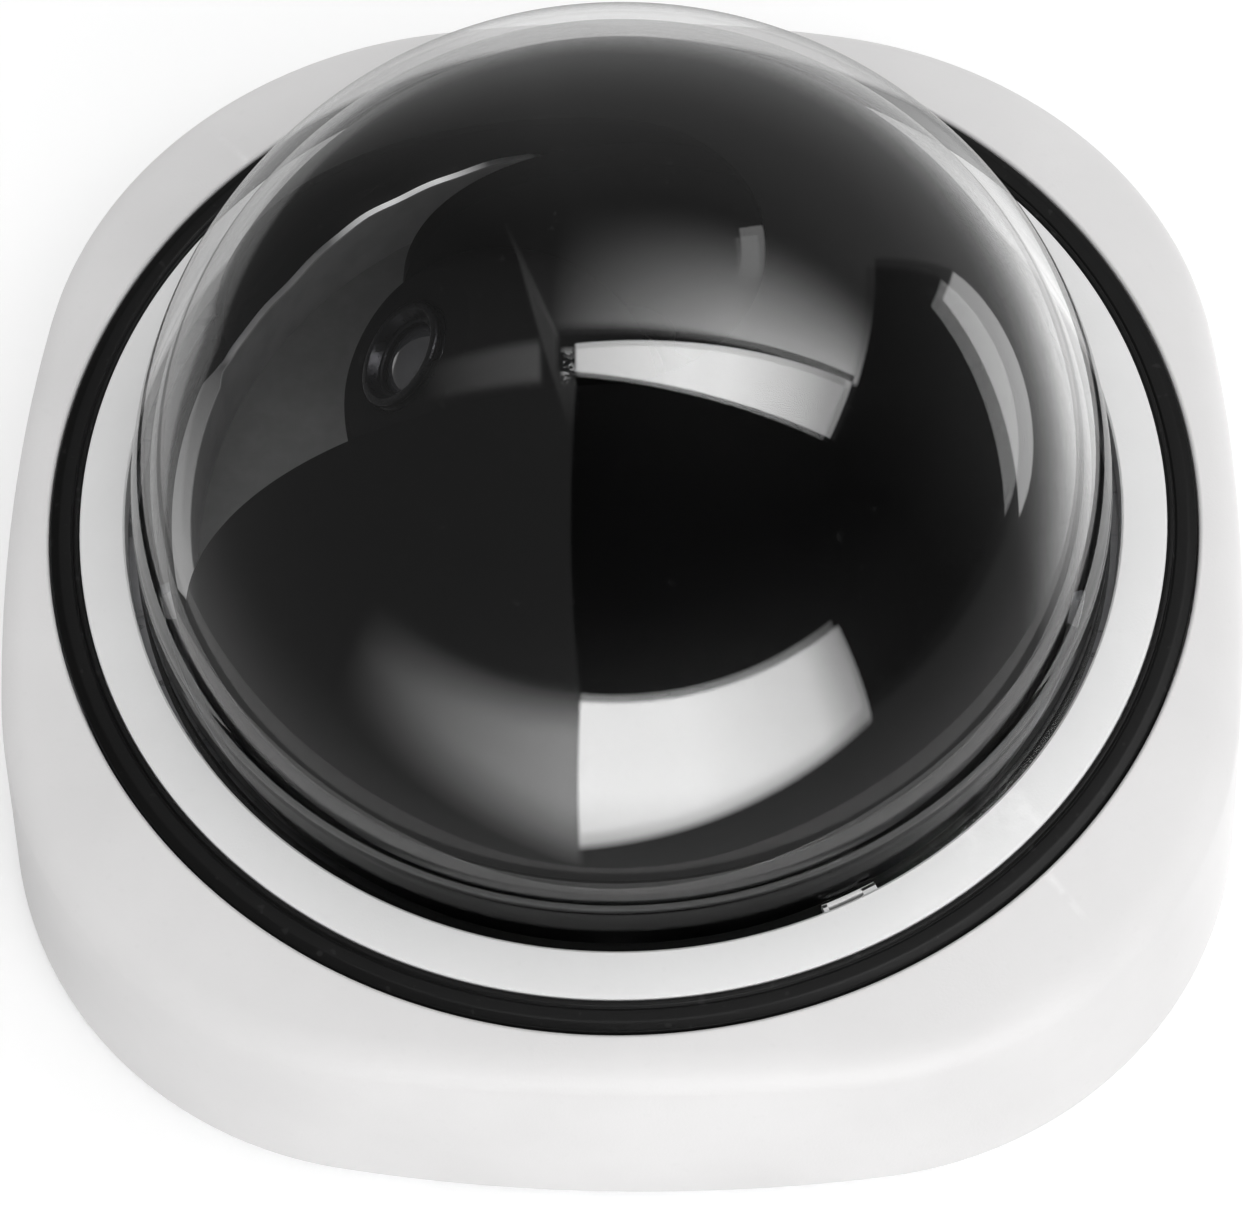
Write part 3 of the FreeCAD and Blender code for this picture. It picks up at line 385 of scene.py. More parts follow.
def lens_glass(name, colour, painted_sheen_colour):
    """Coated optical glass: dark, deep and glossy, with a coloured sheen painted into its base colour
    that changes with the viewing angle.
    """
    n = Nodes(name)
    facing = n.add("ShaderNodeLayerWeight").outputs["Facing"]
    # painted sheen: the base colour turns to the sheen colour at grazing angles
    painted_sheen = n.mix_colour(n.span(facing, 0.0, 0.7, 0, 1), painted_sheen_colour, colour)
    dust = n.span(n.noise(2.5, 1), 0.72, 0.76, 0, 0.06)
    base = n.mix_colour(dust, painted_sheen, grey(0.5))
    shader = n.principled(
        Base_Color=base,
        Roughness=n.span(n.noise(0.5, 4), 0.4, 0.7, 0.02, 0.08),
        Specular_IOR_Level=1.5,
        Coat_Weight=0.8,
    )
    return n.finish(shader.outputs[0])


def board(name, colour):
    """Solder-masked circuit board: weave under the mask, tracks and small gold pads."""
    n = Nodes(name)
    tracks = n.add("ShaderNodeTexBrick")
    n.join(n.place, tracks.inputs["Vector"])
    tracks.inputs["Scale"].default_value = 0.35 / MM
    tracks.inputs["Mortar Size"].default_value = 0.018
    tracks.inputs["Color1"].default_value = colour
    tracks.inputs["Color2"].default_value = tuple(c * 0.85 for c in colour[:3]) + (1,)
    tracks.inputs["Mortar"].default_value = tuple(min(1, c * 1.6 + 0.01) for c in colour[:3]) + (1,)
    pads = n.span(n.noise(0.8, 0), 0.72, 0.74, 0, 1)
    base = n.mix_colour(pads, tracks.outputs["Color"], (0.75, 0.55, 0.22, 1))
    weave = n.noise(2.5, 2, 0.5, (1, 4, 1))
    shader = n.principled(
        Base_Color=base,
        Metallic=n.math("MULTIPLY", pads, 0.9),
        Roughness=n.span(weave, 0.3, 0.7, 0.25, 0.4),
        Normal=n.bump(n.sum(weave, n.math("MULTIPLY", tracks.outputs["Fac"], 1.5)), 0.6, 0.02 * MM),
    )
    return n.finish(shader.outputs[0])


# degrees round the felt's edge from its leftmost point, with the front positive, for the painted
# glint and the painted shade over the fold
GLINT_IN = (-70, -62)
GLINT_OUT = (-54, -44)
FOLD_IN = (-24, -20)
FOLD_PAINTED_SHADE = (-20, 18)


def sleeve_felt(name, colour, painted_edge_highlight):
    """Pressed grey felt with painted light on its up-facing cut edge: a pale painted highlight, a
    painted glint that glows at the back left, and over the slot's foot a painted shade that grows
    paler towards the front.
    """
    n = Nodes(name)
    fibres = n.noise(3, 4, 0.6, (1, 1, 3))
    clouds = n.noise(0.3, 3)
    dark = tuple(c * 0.85 for c in colour[:3]) + (1,)
    base = n.mix_colour(n.span(clouds, 0.35, 0.65, 0, 1), dark, colour)
    facing = n.add("ShaderNodeSeparateXYZ")
    n.join(n.add("ShaderNodeNewGeometry").outputs["Normal"], facing.inputs[0])
    place = n.add("ShaderNodeSeparateXYZ")
    n.join(n.place, place.inputs[0])
    turn = n.math("ARCTAN2", n.math("MULTIPLY", place.outputs[1], -1),
                  n.math("MULTIPLY", place.outputs[0], -1))
    from_left = n.math("MULTIPLY", turn, 180 / math.pi)
    # painted glint: the up-facing edge glows a little in this stretch, though the felt is no lamp
    painted_glint = n.math("MULTIPLY", n.span(from_left, *GLINT_IN, 0, 0.8),
                   n.span(from_left, *GLINT_OUT, 1, 0))
    painted_glint = n.math("MULTIPLY", painted_glint, n.span(n.noise(0.10, 2), 0.42, 0.58, 0.5, 1))
    # the up-facing faces of the cut edge, which carry the painted highlight and the painted shade
    edge = n.span(facing.outputs[2], 0.85, 0.95, 0, 1)
    # painted shade over the slot's foot: the up-facing edge runs from dark at the back to pale at the
    # front, in place of the pale painted highlight
    fold = n.mix_colour(n.span(from_left, *FOLD_PAINTED_SHADE, 0, 1), grey(0.15), grey(0.68))
    cut = n.mix_colour(n.span(from_left, *FOLD_IN, 0, 1), painted_edge_highlight, fold)
    shader = n.principled(
        Base_Color=n.mix_colour(edge, base, cut),
        Roughness=n.span(fibres, 0.3, 0.7, 0.6, 0.8),
        Normal=n.bump(fibres, 0.6, 0.02 * MM),
        Specular_IOR_Level=0.3,
        Emission_Color=painted_edge_highlight,
        Emission_Strength=n.math("MULTIPLY", edge, painted_glint),
    )
    return n.finish(shader.outputs[0])


MATERIALS = {
    "white_shell": moulded("white_shell", (0.75, 0.742, 0.742, 1), 0.5, 0.30, 0.012, 0.05,
                           gloss=0.25),
    "white_trim": moulded("white_trim", grey(0.80), 0.40, 0.28, 0.012, 0.05),
    "zinc_plate": metal("zinc_plate", (0.58, 0.60, 0.62, 1), 0.34, (1, 0.08, 1)),
    "screw_steel": metal("screw_steel", (0.62, 0.62, 0.63, 1), 0.26, (1, 1, 6)),
    "black_screw": metal("black_screw", (0.05, 0.05, 0.052, 1), 0.38, (1, 1, 6)),
    "black_rubber": moulded("black_rubber", grey(0.0035), 0.45, 0.35, 0.012, 0.02, gloss=0.2),
    "grey_silicone": moulded("grey_silicone", (0.30, 0.30, 0.31, 1), 0.6, 0.4, 0.02, 0.1),
    "clear_dome": clear_shell("clear_dome", grey(0.985)),
    "black_liner": moulded("black_liner", grey(0.0006), 0.5, 0.5, 0.006, 0.0, gloss=0.04),
    "black_nylon": moulded("black_nylon", grey(0.004), 0.5, 0.3, 0.004, 0.01, gloss=0.1),
    "grey_nylon": moulded("grey_nylon", grey(0.23), 0.5, 0.3, 0.010, 0.03),
    "head_shell": moulded("head_shell", grey(0.004), 0.5, 0.25, 0.004, 0.01, gloss=0.0),
    "circuit_board": board("circuit_board", (0.012, 0.12, 0.045, 1)),
    "chip_resin": moulded("chip_resin", (0.02, 0.02, 0.022, 1), 0.5, 0.15, 0.01, 0.03),
    "sensor_chip": lens_glass("sensor_chip", (0.02, 0.02, 0.03, 1), (0.10, 0.16, 0.22, 1)),
    "ferrite": moulded("ferrite", (0.045, 0.045, 0.048, 1), 0.7, 0.2, 0.03, 0.05),
    "can_aluminium": metal("can_aluminium", (0.70, 0.70, 0.72, 1), 0.28, (1, 1, 0.1)),
    "cream_plastic": moulded("cream_plastic", (0.70, 0.65, 0.50, 1), 0.45, 0.3, 0.01, 0.03),
    "terminal_plastic": moulded("terminal_plastic", (0.02, 0.18, 0.06, 1), 0.4, 0.3, 0.01, 0.03),
    "spring_washer": metal("spring_washer", (0.50, 0.50, 0.52, 1), 0.30, (1, 0.2, 1)),
    "ribbon_film": moulded("ribbon_film", (0.45, 0.20, 0.04, 1), 0.3, 0.6, 0.01, 0.03, 0.4),
    "black_anodised": metal("black_anodised", (0.035, 0.035, 0.038, 1), 0.30, (1, 1, 8)),
    "lens_glass": lens_glass("lens_glass", (0.014, 0.014, 0.016, 1), (0.055, 0.055, 0.06, 1)),
    "filter_glass": lens_glass("filter_glass", (0.10, 0.03, 0.05, 1), (0.25, 0.10, 0.14, 1)),
}

for entry in frame["record"]["subparts"]:
    shown = frame["nodes"][entry["node"]]
    shown.data.materials.clear()
    shown.data.materials.append(MATERIALS[entry["material_slot"]])


# ------------------------------------------------------------------ housing

SIDE_RADIUS = 180 * MM
CORNER_RADIUS = 41.2 * MM
CORNER_GROWTH = 0.48          # the corner radius grows by this as the side leans in
WALL = 2.4 * MM
DRAFT = 2.9 / 25.2
SEAT_RADIUS = 55.75 * MM
SEAT_SLOPE = 0.25
SHOULDER_ROUND = 4.4 * MM
OPENING_RADIUS = 51.4 * MM
LEDGE_BOTTOM = 19.8 * MM
LEDGE_TOP = 21.8 * MM
NOTCH_RADIUS = 53.6 * MM
NOTCH_HALF = math.radians(9)
NOTCH_FIRST = math.radians(45)
NOTCH_NUDGE = 0.0012          # radians to either side of a notch's end, which keeps the step sharp


def square_radius(angle, half):
    """Distance from the axis to a rounded square of that half width, at that angle."""
    quarter = math.pi / 2
    folded = abs((angle + quarter / 2) % quarter - quarter / 2)
    back = SIDE_RADIUS - half
    corner_radius = CORNER_RADIUS + (HOUSING_HALF - half) * CORNER_GROWTH
    reach = SIDE_RADIUS - corner_radius
    d = (-back + math.sqrt(2 * reach * reach - back * back)) / 2
    lean = math.atan2(d, d + back)
    join_x = -back + SIDE_RADIUS * math.cos(lean)
    join_y = SIDE_RADIUS * math.sin(lean)
    if folded <= math.atan2(join_y, join_x):
        b = back * math.cos(folded)
        return -b + math.sqrt(b * b + SIDE_RADIUS ** 2 - back * back)
    along = d * (math.cos(folded) + math.sin(folded))
    return along + math.sqrt(along * along - 2 * d * d + corner_radius ** 2)


def housing_profile(angle, opening):
    """The wall's closed outline at one angle round the axis, as (radius, height)."""
    bottom = square_radius(angle, HOUSING_HALF)
    seat_top = HOUSING_TOP
    # side line and falling top line meet at the shoulder
    shoulder_half = HOUSING_HALF - DRAFT * (seat_top - HOUSING_BOTTOM)
    drift = (bottom - square_radius(angle, shoulder_half)) / (seat_top - HOUSING_BOTTOM)
    top_radius = (bottom - drift * (seat_top - HOUSING_BOTTOM + SEAT_RADIUS * SEAT_SLOPE))
    top_radius /= 1 - drift * SEAT_SLOPE
    top_height = seat_top - (top_radius - SEAT_RADIUS) * SEAT_SLOPE
    inner_bottom = square_radius(angle, HOUSING_HALF - WALL)
    inner_top = square_radius(angle, HOUSING_HALF - WALL - DRAFT * (LEDGE_BOTTOM - HOUSING_BOTTOM))
    points = [
        (bottom, HOUSING_BOTTOM),
        (top_radius, top_height),
        (SEAT_RADIUS, seat_top),
        (SEAT_RADIUS, LEDGE_TOP),
        (opening, LEDGE_TOP),
        (opening, LEDGE_BOTTOM),
        (inner_top, LEDGE_BOTTOM),
        (inner_bottom, HOUSING_BOTTOM),
    ]
    rounds = {0: 0.25 * MM, 1: SHOULDER_ROUND, 2: 0.35 * MM, 4: 0.2 * MM, 5: 0.2 * MM, 6: 1.2 * MM}
    return rounded(points, rounds, 8)


def housing_mesh():
    steps = FINE * 2
    notch_edges = []
    for q in range(4):
        middle = NOTCH_FIRST + q * math.pi / 2
        for side in (-1, 1):
            for nudge in (-NOTCH_NUDGE, NOTCH_NUDGE):
                notch_edges.append((middle + side * (NOTCH_HALF + nudge)) % (2 * math.pi))
    angles = sorted([2 * math.pi * i / steps for i in range(steps)] + notch_edges)
    bm = bmesh.new()
    loops = []
    for angle in angles:
        offset = (angle - NOTCH_FIRST + math.pi / 4) % (math.pi / 2) - math.pi / 4
        opening = NOTCH_RADIUS if abs(offset) < NOTCH_HALF else OPENING_RADIUS
        loops.append(vertices_at(bm, angle, housing_profile(angle, opening)))
    skin(bm, loops + loops[:1])
    return finished_mesh("housing_shell", bm, 30)


stand_in(new_object("housing_shell", housing_mesh()), "housing", "base",
         MATERIALS["white_shell"])


# ------------------------------------------------------------------ seal, trim ring and dome

SEAL_INNER = 52.75 * MM


def seal_mesh():
    top = SEAL_TOP
    points = [
        (SEAL_INNER, SEAL_BOTTOM),
        (SEAL_RADIUS, SEAL_BOTTOM),
        (SEAL_RADIUS, top - 0.55 * MM),
        (SEAL_RADIUS - 0.9 * MM, top - 0.22 * MM),
        (SEAL_INNER + 0.85 * MM, top - 0.25 * MM),
        (SEAL_INNER + 0.62 * MM, top - 0.42 * MM),
        (SEAL_INNER + 0.48 * MM, top),
        (SEAL_INNER, top),
    ]
    rounds = {2: 0.35 * MM, 3: 0.9 * MM, 4: 0.12 * MM, 5: 0.06 * MM, 6: 0.15 * MM, 7: 0.18 * MM}
    return turned_mesh("seal_band", rounded(points, rounds, 6))


seal_band = stand_in(new_object("seal_band", seal_mesh()), "seal_ring", "cover_seal",
                     MATERIALS["black_rubber"])
seal_band.visible_glossy = False

TRIM_HOLE = 48.2 * MM
TRIM_RIM = 52.65 * MM
SKIRT_OUTER = 51.3 * MM
SKIRT_INNER = 50.0 * MM
FLANGE_TOP = 23.1 * MM
LUG_RADIUS = 53.4 * MM
LUG_TOP = 19.6 * MM
LUG_HALF = math.radians(7)
TAB_MIDDLE = math.radians(-63)
TAB_HALF = math.radians(3.2)
TAB_ARM = math.radians(0.55)      # width of the left arm that joins the tab's bar to the ring
TAB_INNER = -0.85 * MM            # measured from the trim ring's hole
TAB_OUTER = -0.38 * MM
TAB_JOINED = 0.3 * MM
TAB_LOW = -1.3 * MM               # measured from the trim ring's top
TAB_HIGH = -0.35 * MM


def sector(bm, inner, outer, low, high, start, finish, steps=12, ease=0.0):
    """A solid ring sector with slightly eased corners, added to a bmesh."""
    profile = rounded(
        [(inner, low), (outer, low), (outer, high), (inner, high)],
        {i: ease for i in range(4)} if ease else {}, 3,
    )
    loops = []
    for i in range(steps + 1):
        angle = start + (finish - start) * i / steps
        loops.append(vertices_at(bm, angle, profile))
    skin(bm, loops)
    bm.faces.new(loops[0])
    bm.faces.new(loops[-1][::-1])


def trim_mesh():
    top = TRIM_TOP
    points = [
        (TRIM_HOLE, FLANGE_TOP),
        (SKIRT_INNER, FLANGE_TOP),
        (SKIRT_INNER, SKIRT_BOTTOM),
        (SKIRT_OUTER, SKIRT_BOTTOM),
        (SKIRT_OUTER, LEDGE_TOP + 0.2 * MM),
        (TRIM_RIM, LEDGE_TOP + 0.2 * MM),
        (TRIM_RIM, top - 0.42 * MM),
        (TRIM_HOLE + 0.2 * MM, top),
        (TRIM_HOLE, top - 0.15 * MM),
    ]
    rounds = {2: 0.3 * MM, 3: 0.3 * MM, 6: 0.35 * MM, 7: 0.08 * MM, 8: 0.05 * MM}
    mesh = turned_mesh("trim_band", rounded(points, rounds, 6))
    bm = bmesh.new()
    bm.from_mesh(mesh)
    for q in range(4):
        middle = NOTCH_FIRST + q * math.pi / 2
        sector(bm, SKIRT_OUTER - 0.3 * MM, LUG_RADIUS, SKIRT_BOTTOM, LUG_TOP,
               middle - LUG_HALF, middle + LUG_HALF, ease=0.25 * MM)
    tab_start, tab_end = TAB_MIDDLE - TAB_HALF, TAB_MIDDLE + TAB_HALF
    for reach, start, finish in [
        (TAB_OUTER, tab_start, tab_end),
        (TAB_JOINED, tab_start, tab_start + TAB_ARM),
        (TAB_JOINED, tab_end - 3 * TAB_ARM, tab_end),
    ]:
        sector(bm, TRIM_HOLE + TAB_INNER, TRIM_HOLE + reach, top + TAB_LOW, top + TAB_HIGH,
               start, finish, ease=0.1 * MM)
    bmesh.ops.recalc_face_normals(bm, faces=bm.faces)
    bm.to_mesh(mesh)
    bm.free()
    smooth(mesh, 30)
    return mesh


stand_in(new_object("trim_band", trim_mesh()), "trim_ring", "cover",
         MATERIALS["white_trim"])


# (height, how far it stands out) of the fine moulding lines round the dome's foot, in mm
FOOT_LINES = [(29.85, 0), (30.15, 0.025), (30.45, 0), (30.75, -0.04), (31.05, 0), (31.3, 0.03),
              (32.7, 0.03), (33.0, 0)]


def dome_mesh():
    quarter = math.pi / 2
    inner = DOME_RADIUS - DOME_WALL
    line_start = math.asin((FOOT_LINES[0][0] * MM - DOME_CENTRE) / DOME_RADIUS)
    line_end = math.asin((FOOT_LINES[-1][0] * MM - DOME_CENTRE) / DOME_RADIUS)
    profile = rounded([
        (inner, FLANGE_BOTTOM),
        (FLANGE_RADIUS, FLANGE_BOTTOM),
        (FLANGE_RADIUS, FLANGE_TOP),
        (DOME_RADIUS, FLANGE_TOP),
    ], {1: 0.15 * MM, 2: 0.15 * MM, 3: 0.3 * MM}, 3)
    profile += list(arc(DOME_CENTRE, DOME_RADIUS, 0, line_start, 8))[:-1]
    for height, out in FOOT_LINES:
        height *= MM
        round_it = math.sqrt(DOME_RADIUS ** 2 - (height - DOME_CENTRE) ** 2)
        profile.append((round_it + out * MM, height))
    profile += list(arc(DOME_CENTRE, DOME_RADIUS, line_end, quarter, 88))[1:]
    profile += list(arc(DOME_CENTRE, inner, quarter, 0, 96))
    return turned_mesh("dome_shell", profile)


stand_in(new_object("dome_shell", dome_mesh()), "dome", "cover",
         MATERIALS["clear_dome"])


# ------------------------------------------------------------------ liner

LINER_RADIUS = 44.0 * MM
LINER_WALL = 0.8 * MM
BAND_RADIUS = 44.5 * MM
BAND_TOP = 26.0 * MM
LINE_HEIGHT = 30.0 * MM        # a fine groove round the liner
LINE_WIDTH = 0.45 * MM
LINE_DEPTH = 0.3 * MM
LINE_BEVEL = 0.1 * MM
SLOT_HALF = 13.8 * MM
SLOT_FOOT_HALF = 16.8 * MM
SLOT_BOTTOM = 24.0 * MM
SLOT_END = -0.4 * MM           # the middle of the slot's round end
SLOT_FOOT = -44.0 * MM
SLOT_STEPS = 48
CUTTER_FAR = -60.0 * MM        # the cutter runs out past the liner, and above its top
CUTTER_TOP = 90.0 * MM


def on_sphere(height):
    return math.sqrt(LINER_RADIUS ** 2 - (height - DOME_CENTRE) ** 2)


def liner_mesh():
    inner = LINER_RADIUS - LINER_WALL
    line_high = LINE_HEIGHT + LINE_WIDTH
    profile = rounded([
        (inner, LINER_BOTTOM),
        (BAND_RADIUS, LINER_BOTTOM),
        (BAND_RADIUS, BAND_TOP),
        (on_sphere(BAND_TOP), BAND_TOP),
    ], {1: 0.2 * MM, 2: 0.2 * MM}, 3)
    low_angle = math.asin((BAND_TOP - DOME_CENTRE) / LINER_RADIUS)
    line_angle = math.asin((LINE_HEIGHT - DOME_CENTRE) / LINER_RADIUS)
    high_angle = math.asin((line_high - DOME_CENTRE) / LINER_RADIUS)
    profile += list(arc(DOME_CENTRE, LINER_RADIUS, low_angle, line_angle, 6))[1:]
    profile.append((on_sphere(LINE_HEIGHT) - LINE_DEPTH, LINE_HEIGHT + LINE_BEVEL))
    profile.append((on_sphere(line_high) - LINE_DEPTH, line_high - LINE_BEVEL))
    profile += list(arc(DOME_CENTRE, LINER_RADIUS, high_angle, math.pi / 2, 72))
    profile += list(arc(DOME_CENTRE, inner, math.pi / 2, 0, 72))
    shell = new_object("liner_shell", turned_mesh("liner_shell", profile))
    cutter = new_object("slot_cutter", slot_cutter_mesh())
    cut = shell.modifiers.new("slot", "BOOLEAN")
    cut.object = cutter
    cut.operation = "DIFFERENCE"
    cut.solver = "EXACT"
    graph = bpy.context.evaluated_depsgraph_get()
    mesh = bpy.data.meshes.new_from_object(shell.evaluated_get(graph))
    shell.modifiers.clear()
    shell.data = mesh
    mesh.name = "liner_shell"
    bpy.data.objects.remove(cutter)
    smooth(mesh, 40)
    return shell


def slot_cutter_mesh():
    """A prism the shape of the slot: a round end on the far side, widening to the foot."""
    outline = [(CUTTER_FAR, -SLOT_FOOT_HALF), (SLOT_FOOT, -SLOT_FOOT_HALF)]
    for step in range(SLOT_STEPS + 1):
        angle = -math.pi / 2 + math.pi * step / SLOT_STEPS
        outline.append((SLOT_END + SLOT_HALF * math.cos(angle), SLOT_HALF * math.sin(angle)))
    outline += [(SLOT_FOOT, SLOT_FOOT_HALF), (CUTTER_FAR, SLOT_FOOT_HALF)]
    bm = bmesh.new()
    low = [bm.verts.new((x, y, SLOT_BOTTOM)) for x, y in outline]
    high = [bm.verts.new((x, y, CUTTER_TOP)) for x, y in outline]
    bm.faces.new(low[::-1])
    bm.faces.new(high)
    for i in range(len(low)):
        j = (i + 1) % len(low)
        bm.faces.new((low[i], low[j], high[j], high[i]))
    bmesh.ops.recalc_face_normals(bm, faces=bm.faces)
    mesh = bpy.data.meshes.new("slot_cutter")
    bm.to_mesh(mesh)
    bm.free()
    return mesh


stand_in(liner_mesh(), "liner", "pan_stage", MATERIALS["black_liner"])


SLEEVE_INNER = 42.4 * MM
SLEEVE_OUTER = 43.19 * MM
SLEEVE_SLOPE = 0.3 * MM        # the cut edge slopes down on its outside
SLEEVE_BEVEL = 0.1 * MM
SLEEVE_LOW = 0.45 * MM         # how far the edge lies below the liner's slot
SLEEVE_DIP = 5.0 * MM          # the felt is cut lower on its right, behind the yoke
DIP_MIDDLE = 15                # degrees round the axis
DIP_HALF = 89
DIP_EASE = 10
LIP_RISE = 0.35 * MM           # over the slot's foot the felt is folded both ways
LIP_WIDTH = 0.6 * MM
LIP_INSIDE = 0.5 * MM
LIP_THICKNESS = 0.3 * MM
LIP_BACK = -21.5               # the fold's ends, in degrees from the leftmost point
LIP_FRONT = 17.5
LIP_BACK_EASE = 2.5
LIP_FRONT_EASE = 1.5


def lip(angle):
    """0 away from the slot's foot, 2 where the felt is folded right over it."""
    from_left = math.degrees(angle) % 360 - 180
    return min(2, max(0, min((from_left - LIP_BACK) / LIP_BACK_EASE,
                             (LIP_FRONT - from_left) / LIP_FRONT_EASE)))


def sleeve_top(angle):
    """The sleeve is cut from thin felt, so its upper edge wanders a little."""
    wander = (0.9 * math.sin(9 * angle + 0.6) + 0.55 * math.sin(16 * angle + 2.3)
              + 0.3 * math.sin(37 * angle) - 0.4)
    from_right = abs((math.degrees(angle) - DIP_MIDDLE + 180) % 360 - 180)
    dip = min(1, max(0, (DIP_HALF - from_right) / DIP_EASE))
    cut = 0.35 * MM * wander - SLEEVE_LOW - SLEEVE_DIP * dip
    folded = min(1, lip(angle))
    return corner("liner_sleeve", True, 2) + cut * (1 - folded) + LIP_RISE * folded


def sleeve_mesh():
    bottom = corner("liner_sleeve", False, 2)
    steps = FINE * 2
    bm = bmesh.new()
    loops = []
    for i in range(steps):
        angle = 2 * math.pi * i / steps
        top = sleeve_top(angle)
        under = top - LIP_THICKNESS
        fold = max(0, lip(angle) - 1)
        rim = SLEEVE_OUTER + LIP_WIDTH * max(0.02, fold)
        inner = SLEEVE_INNER - LIP_INSIDE * fold
        profile = [
            (SLEEVE_INNER, bottom), (SLEEVE_OUTER, bottom), (SLEEVE_OUTER, under), (rim, under),
            (rim, top - SLEEVE_BEVEL), (rim - SLEEVE_SLOPE, top),
            (inner + SLEEVE_BEVEL, top), (inner, top - SLEEVE_BEVEL),
        ]
        loops.append(vertices_at(bm, angle, profile))
    skin(bm, loops + loops[:1])
    return finished_mesh("sleeve_band", bm, 30)


stand_in(new_object("sleeve_band", sleeve_mesh()), "liner_sleeve", "pan_stage",
         sleeve_felt("grey_felt", grey(0.50), grey(0.80)))


# ------------------------------------------------------------------ camera head, along +Z, then aimed

BALL_RADIUS = 14.7 * MM
BALL_CENTRE = 15.15 * MM
BALL_WALL = 1.5 * MM
BALL_FACE = 27.0 * MM
FACE_WALL = 1.6 * MM
FACE_RADIUS = 8.7 * MM
NOSE_RADIUS = 5.2 * MM
NOSE_GAP = 0.2 * MM
NOSE_FRONT = 27.9 * MM
BARREL_REAR = 12.0 * MM
THREAD_RADIUS = 6.0 * MM
THREAD_FRONT = 21.2 * MM
REAR_BORE = 3.0 * MM
REAR_SEAT = 15.0 * MM
STOP_RADIUS = 2.2 * MM         # the barrel's narrowest bore
GLASS_RADIUS = 3.9 * MM
GLASS_SEAT = 24.9 * MM
GLASS_EDGE = 25.9 * MM
GLASS_SAG = 1.6 * MM
CLAMP_BORE = 3.5 * MM


def ball_front_mesh():
    inner = BALL_RADIUS - BALL_WALL
    face_angle = math.acos(FACE_RADIUS / BALL_RADIUS)
    inner_face = BALL_FACE - FACE_WALL
    inner_angle = math.asin((inner_face - BALL_CENTRE) / inner)
    hole = NOSE_RADIUS + NOSE_GAP
    profile = list(arc(BALL_CENTRE, BALL_RADIUS, 0, face_angle - 0.03, 40))
    edge = [profile[-1], (FACE_RADIUS, BALL_FACE), (hole, BALL_FACE), (hole, inner_face),
            (inner * math.cos(inner_angle), inner_face)]
    profile = profile[:-1] + rounded(edge, {1: 0.4 * MM, 2: 0.3 * MM}, 5)[:-1]
    profile += list(arc(BALL_CENTRE, inner, inner_angle, 0, 30))
    return aim(turned_mesh("head_front_shell", profile))


stand_in(new_object("head_front_shell", ball_front_mesh()), "ball_front", "camera_head",
         MATERIALS["head_shell"])


def lens_barrel_mesh():
    front, nose = NOSE_FRONT, NOSE_RADIUS
    points = [
        (REAR_BORE, BARREL_REAR), (THREAD_RADIUS, BARREL_REAR), (THREAD_RADIUS, THREAD_FRONT),
        (nose - 0.2 * MM, 21.8 * MM), (nose, 22.2 * MM), (nose, front - 1.1 * MM),
        (nose - 0.35 * MM, front - 1.0 * MM), (nose - 0.35 * MM, front - 0.6 * MM),
        (nose, front - 0.5 * MM), (nose, front), (nose - 0.75 * MM, front),
        (GLASS_RADIUS, front - 0.9 * MM), (GLASS_RADIUS, GLASS_SEAT), (STOP_RADIUS, GLASS_SEAT),
        (STOP_RADIUS, REAR_SEAT), (REAR_BORE, REAR_SEAT),
    ]
    rounds = {5: 0.08 * MM, 8: 0.08 * MM, 9: 0.25 * MM, 10: 0.15 * MM}
    return aim(turned_mesh("lens_tube", rounded(points, rounds, 4), FINE // 2, 30))


stand_in(new_object("lens_tube", lens_barrel_mesh()), "lens_barrel", "lens",
         MATERIALS["black_anodised"])


def front_glass_mesh():
    curve = (GLASS_RADIUS ** 2 + GLASS_SAG ** 2) / (2 * GLASS_SAG)
    centre = GLASS_EDGE + GLASS_SAG - curve
    first = math.acos(GLASS_RADIUS / curve)
    profile = [(0, GLASS_SEAT), (GLASS_RADIUS, GLASS_SEAT)]
    profile += list(arc(centre, curve, first, math.pi / 2, 24))
    return aim(turned_mesh("front_glass", profile, FINE // 2))


stand_in(new_object("front_glass", front_glass_mesh()), "front_element", "lens",
         MATERIALS["lens_glass"])


def clamp_mesh():
    front = NOSE_FRONT - 0.95 * MM
    points = [(CLAMP_BORE, 26.35 * MM), (GLASS_RADIUS, 26.0 * MM), (GLASS_RADIUS, front),
              (3.65 * MM, front), (CLAMP_BORE, front - 0.15 * MM)]
    return aim(turned_mesh("glass_clamp", rounded(points, {3: 0.08 * MM}, 3), FINE // 2, 30))


stand_in(new_object("glass_clamp", clamp_mesh()), "lens_clamp_ring", "lens",
         MATERIALS["black_anodised"])


# ------------------------------------------------------------------ floor, light and camera

def floor_material():
    n = Nodes("pale_floor")
    tone = n.span(n.noise(0.004, 3), 0.3, 0.7, 0.97, 0.99)
    white = n.mix_colour(tone, grey(0.0), grey(1.0))
    shader = n.principled(Base_Color=white, Roughness=0.9, Specular_IOR_Level=0.1,
                          Emission_Color=white, Emission_Strength=0.12)
    return n.finish(shader.outputs[0])


def make_floor():
    bm = bmesh.new()
    bmesh.ops.create_circle(bm, cap_ends=True, radius=6, segments=64)
    mesh = bpy.data.meshes.new("floor")
    bm.to_mesh(mesh)
    bm.free()
    floor = new_object("floor", mesh)
    floor.location.z = -0.05 * MM
    mesh.materials.append(floor_material())
    floor.visible_glossy = False


make_floor()


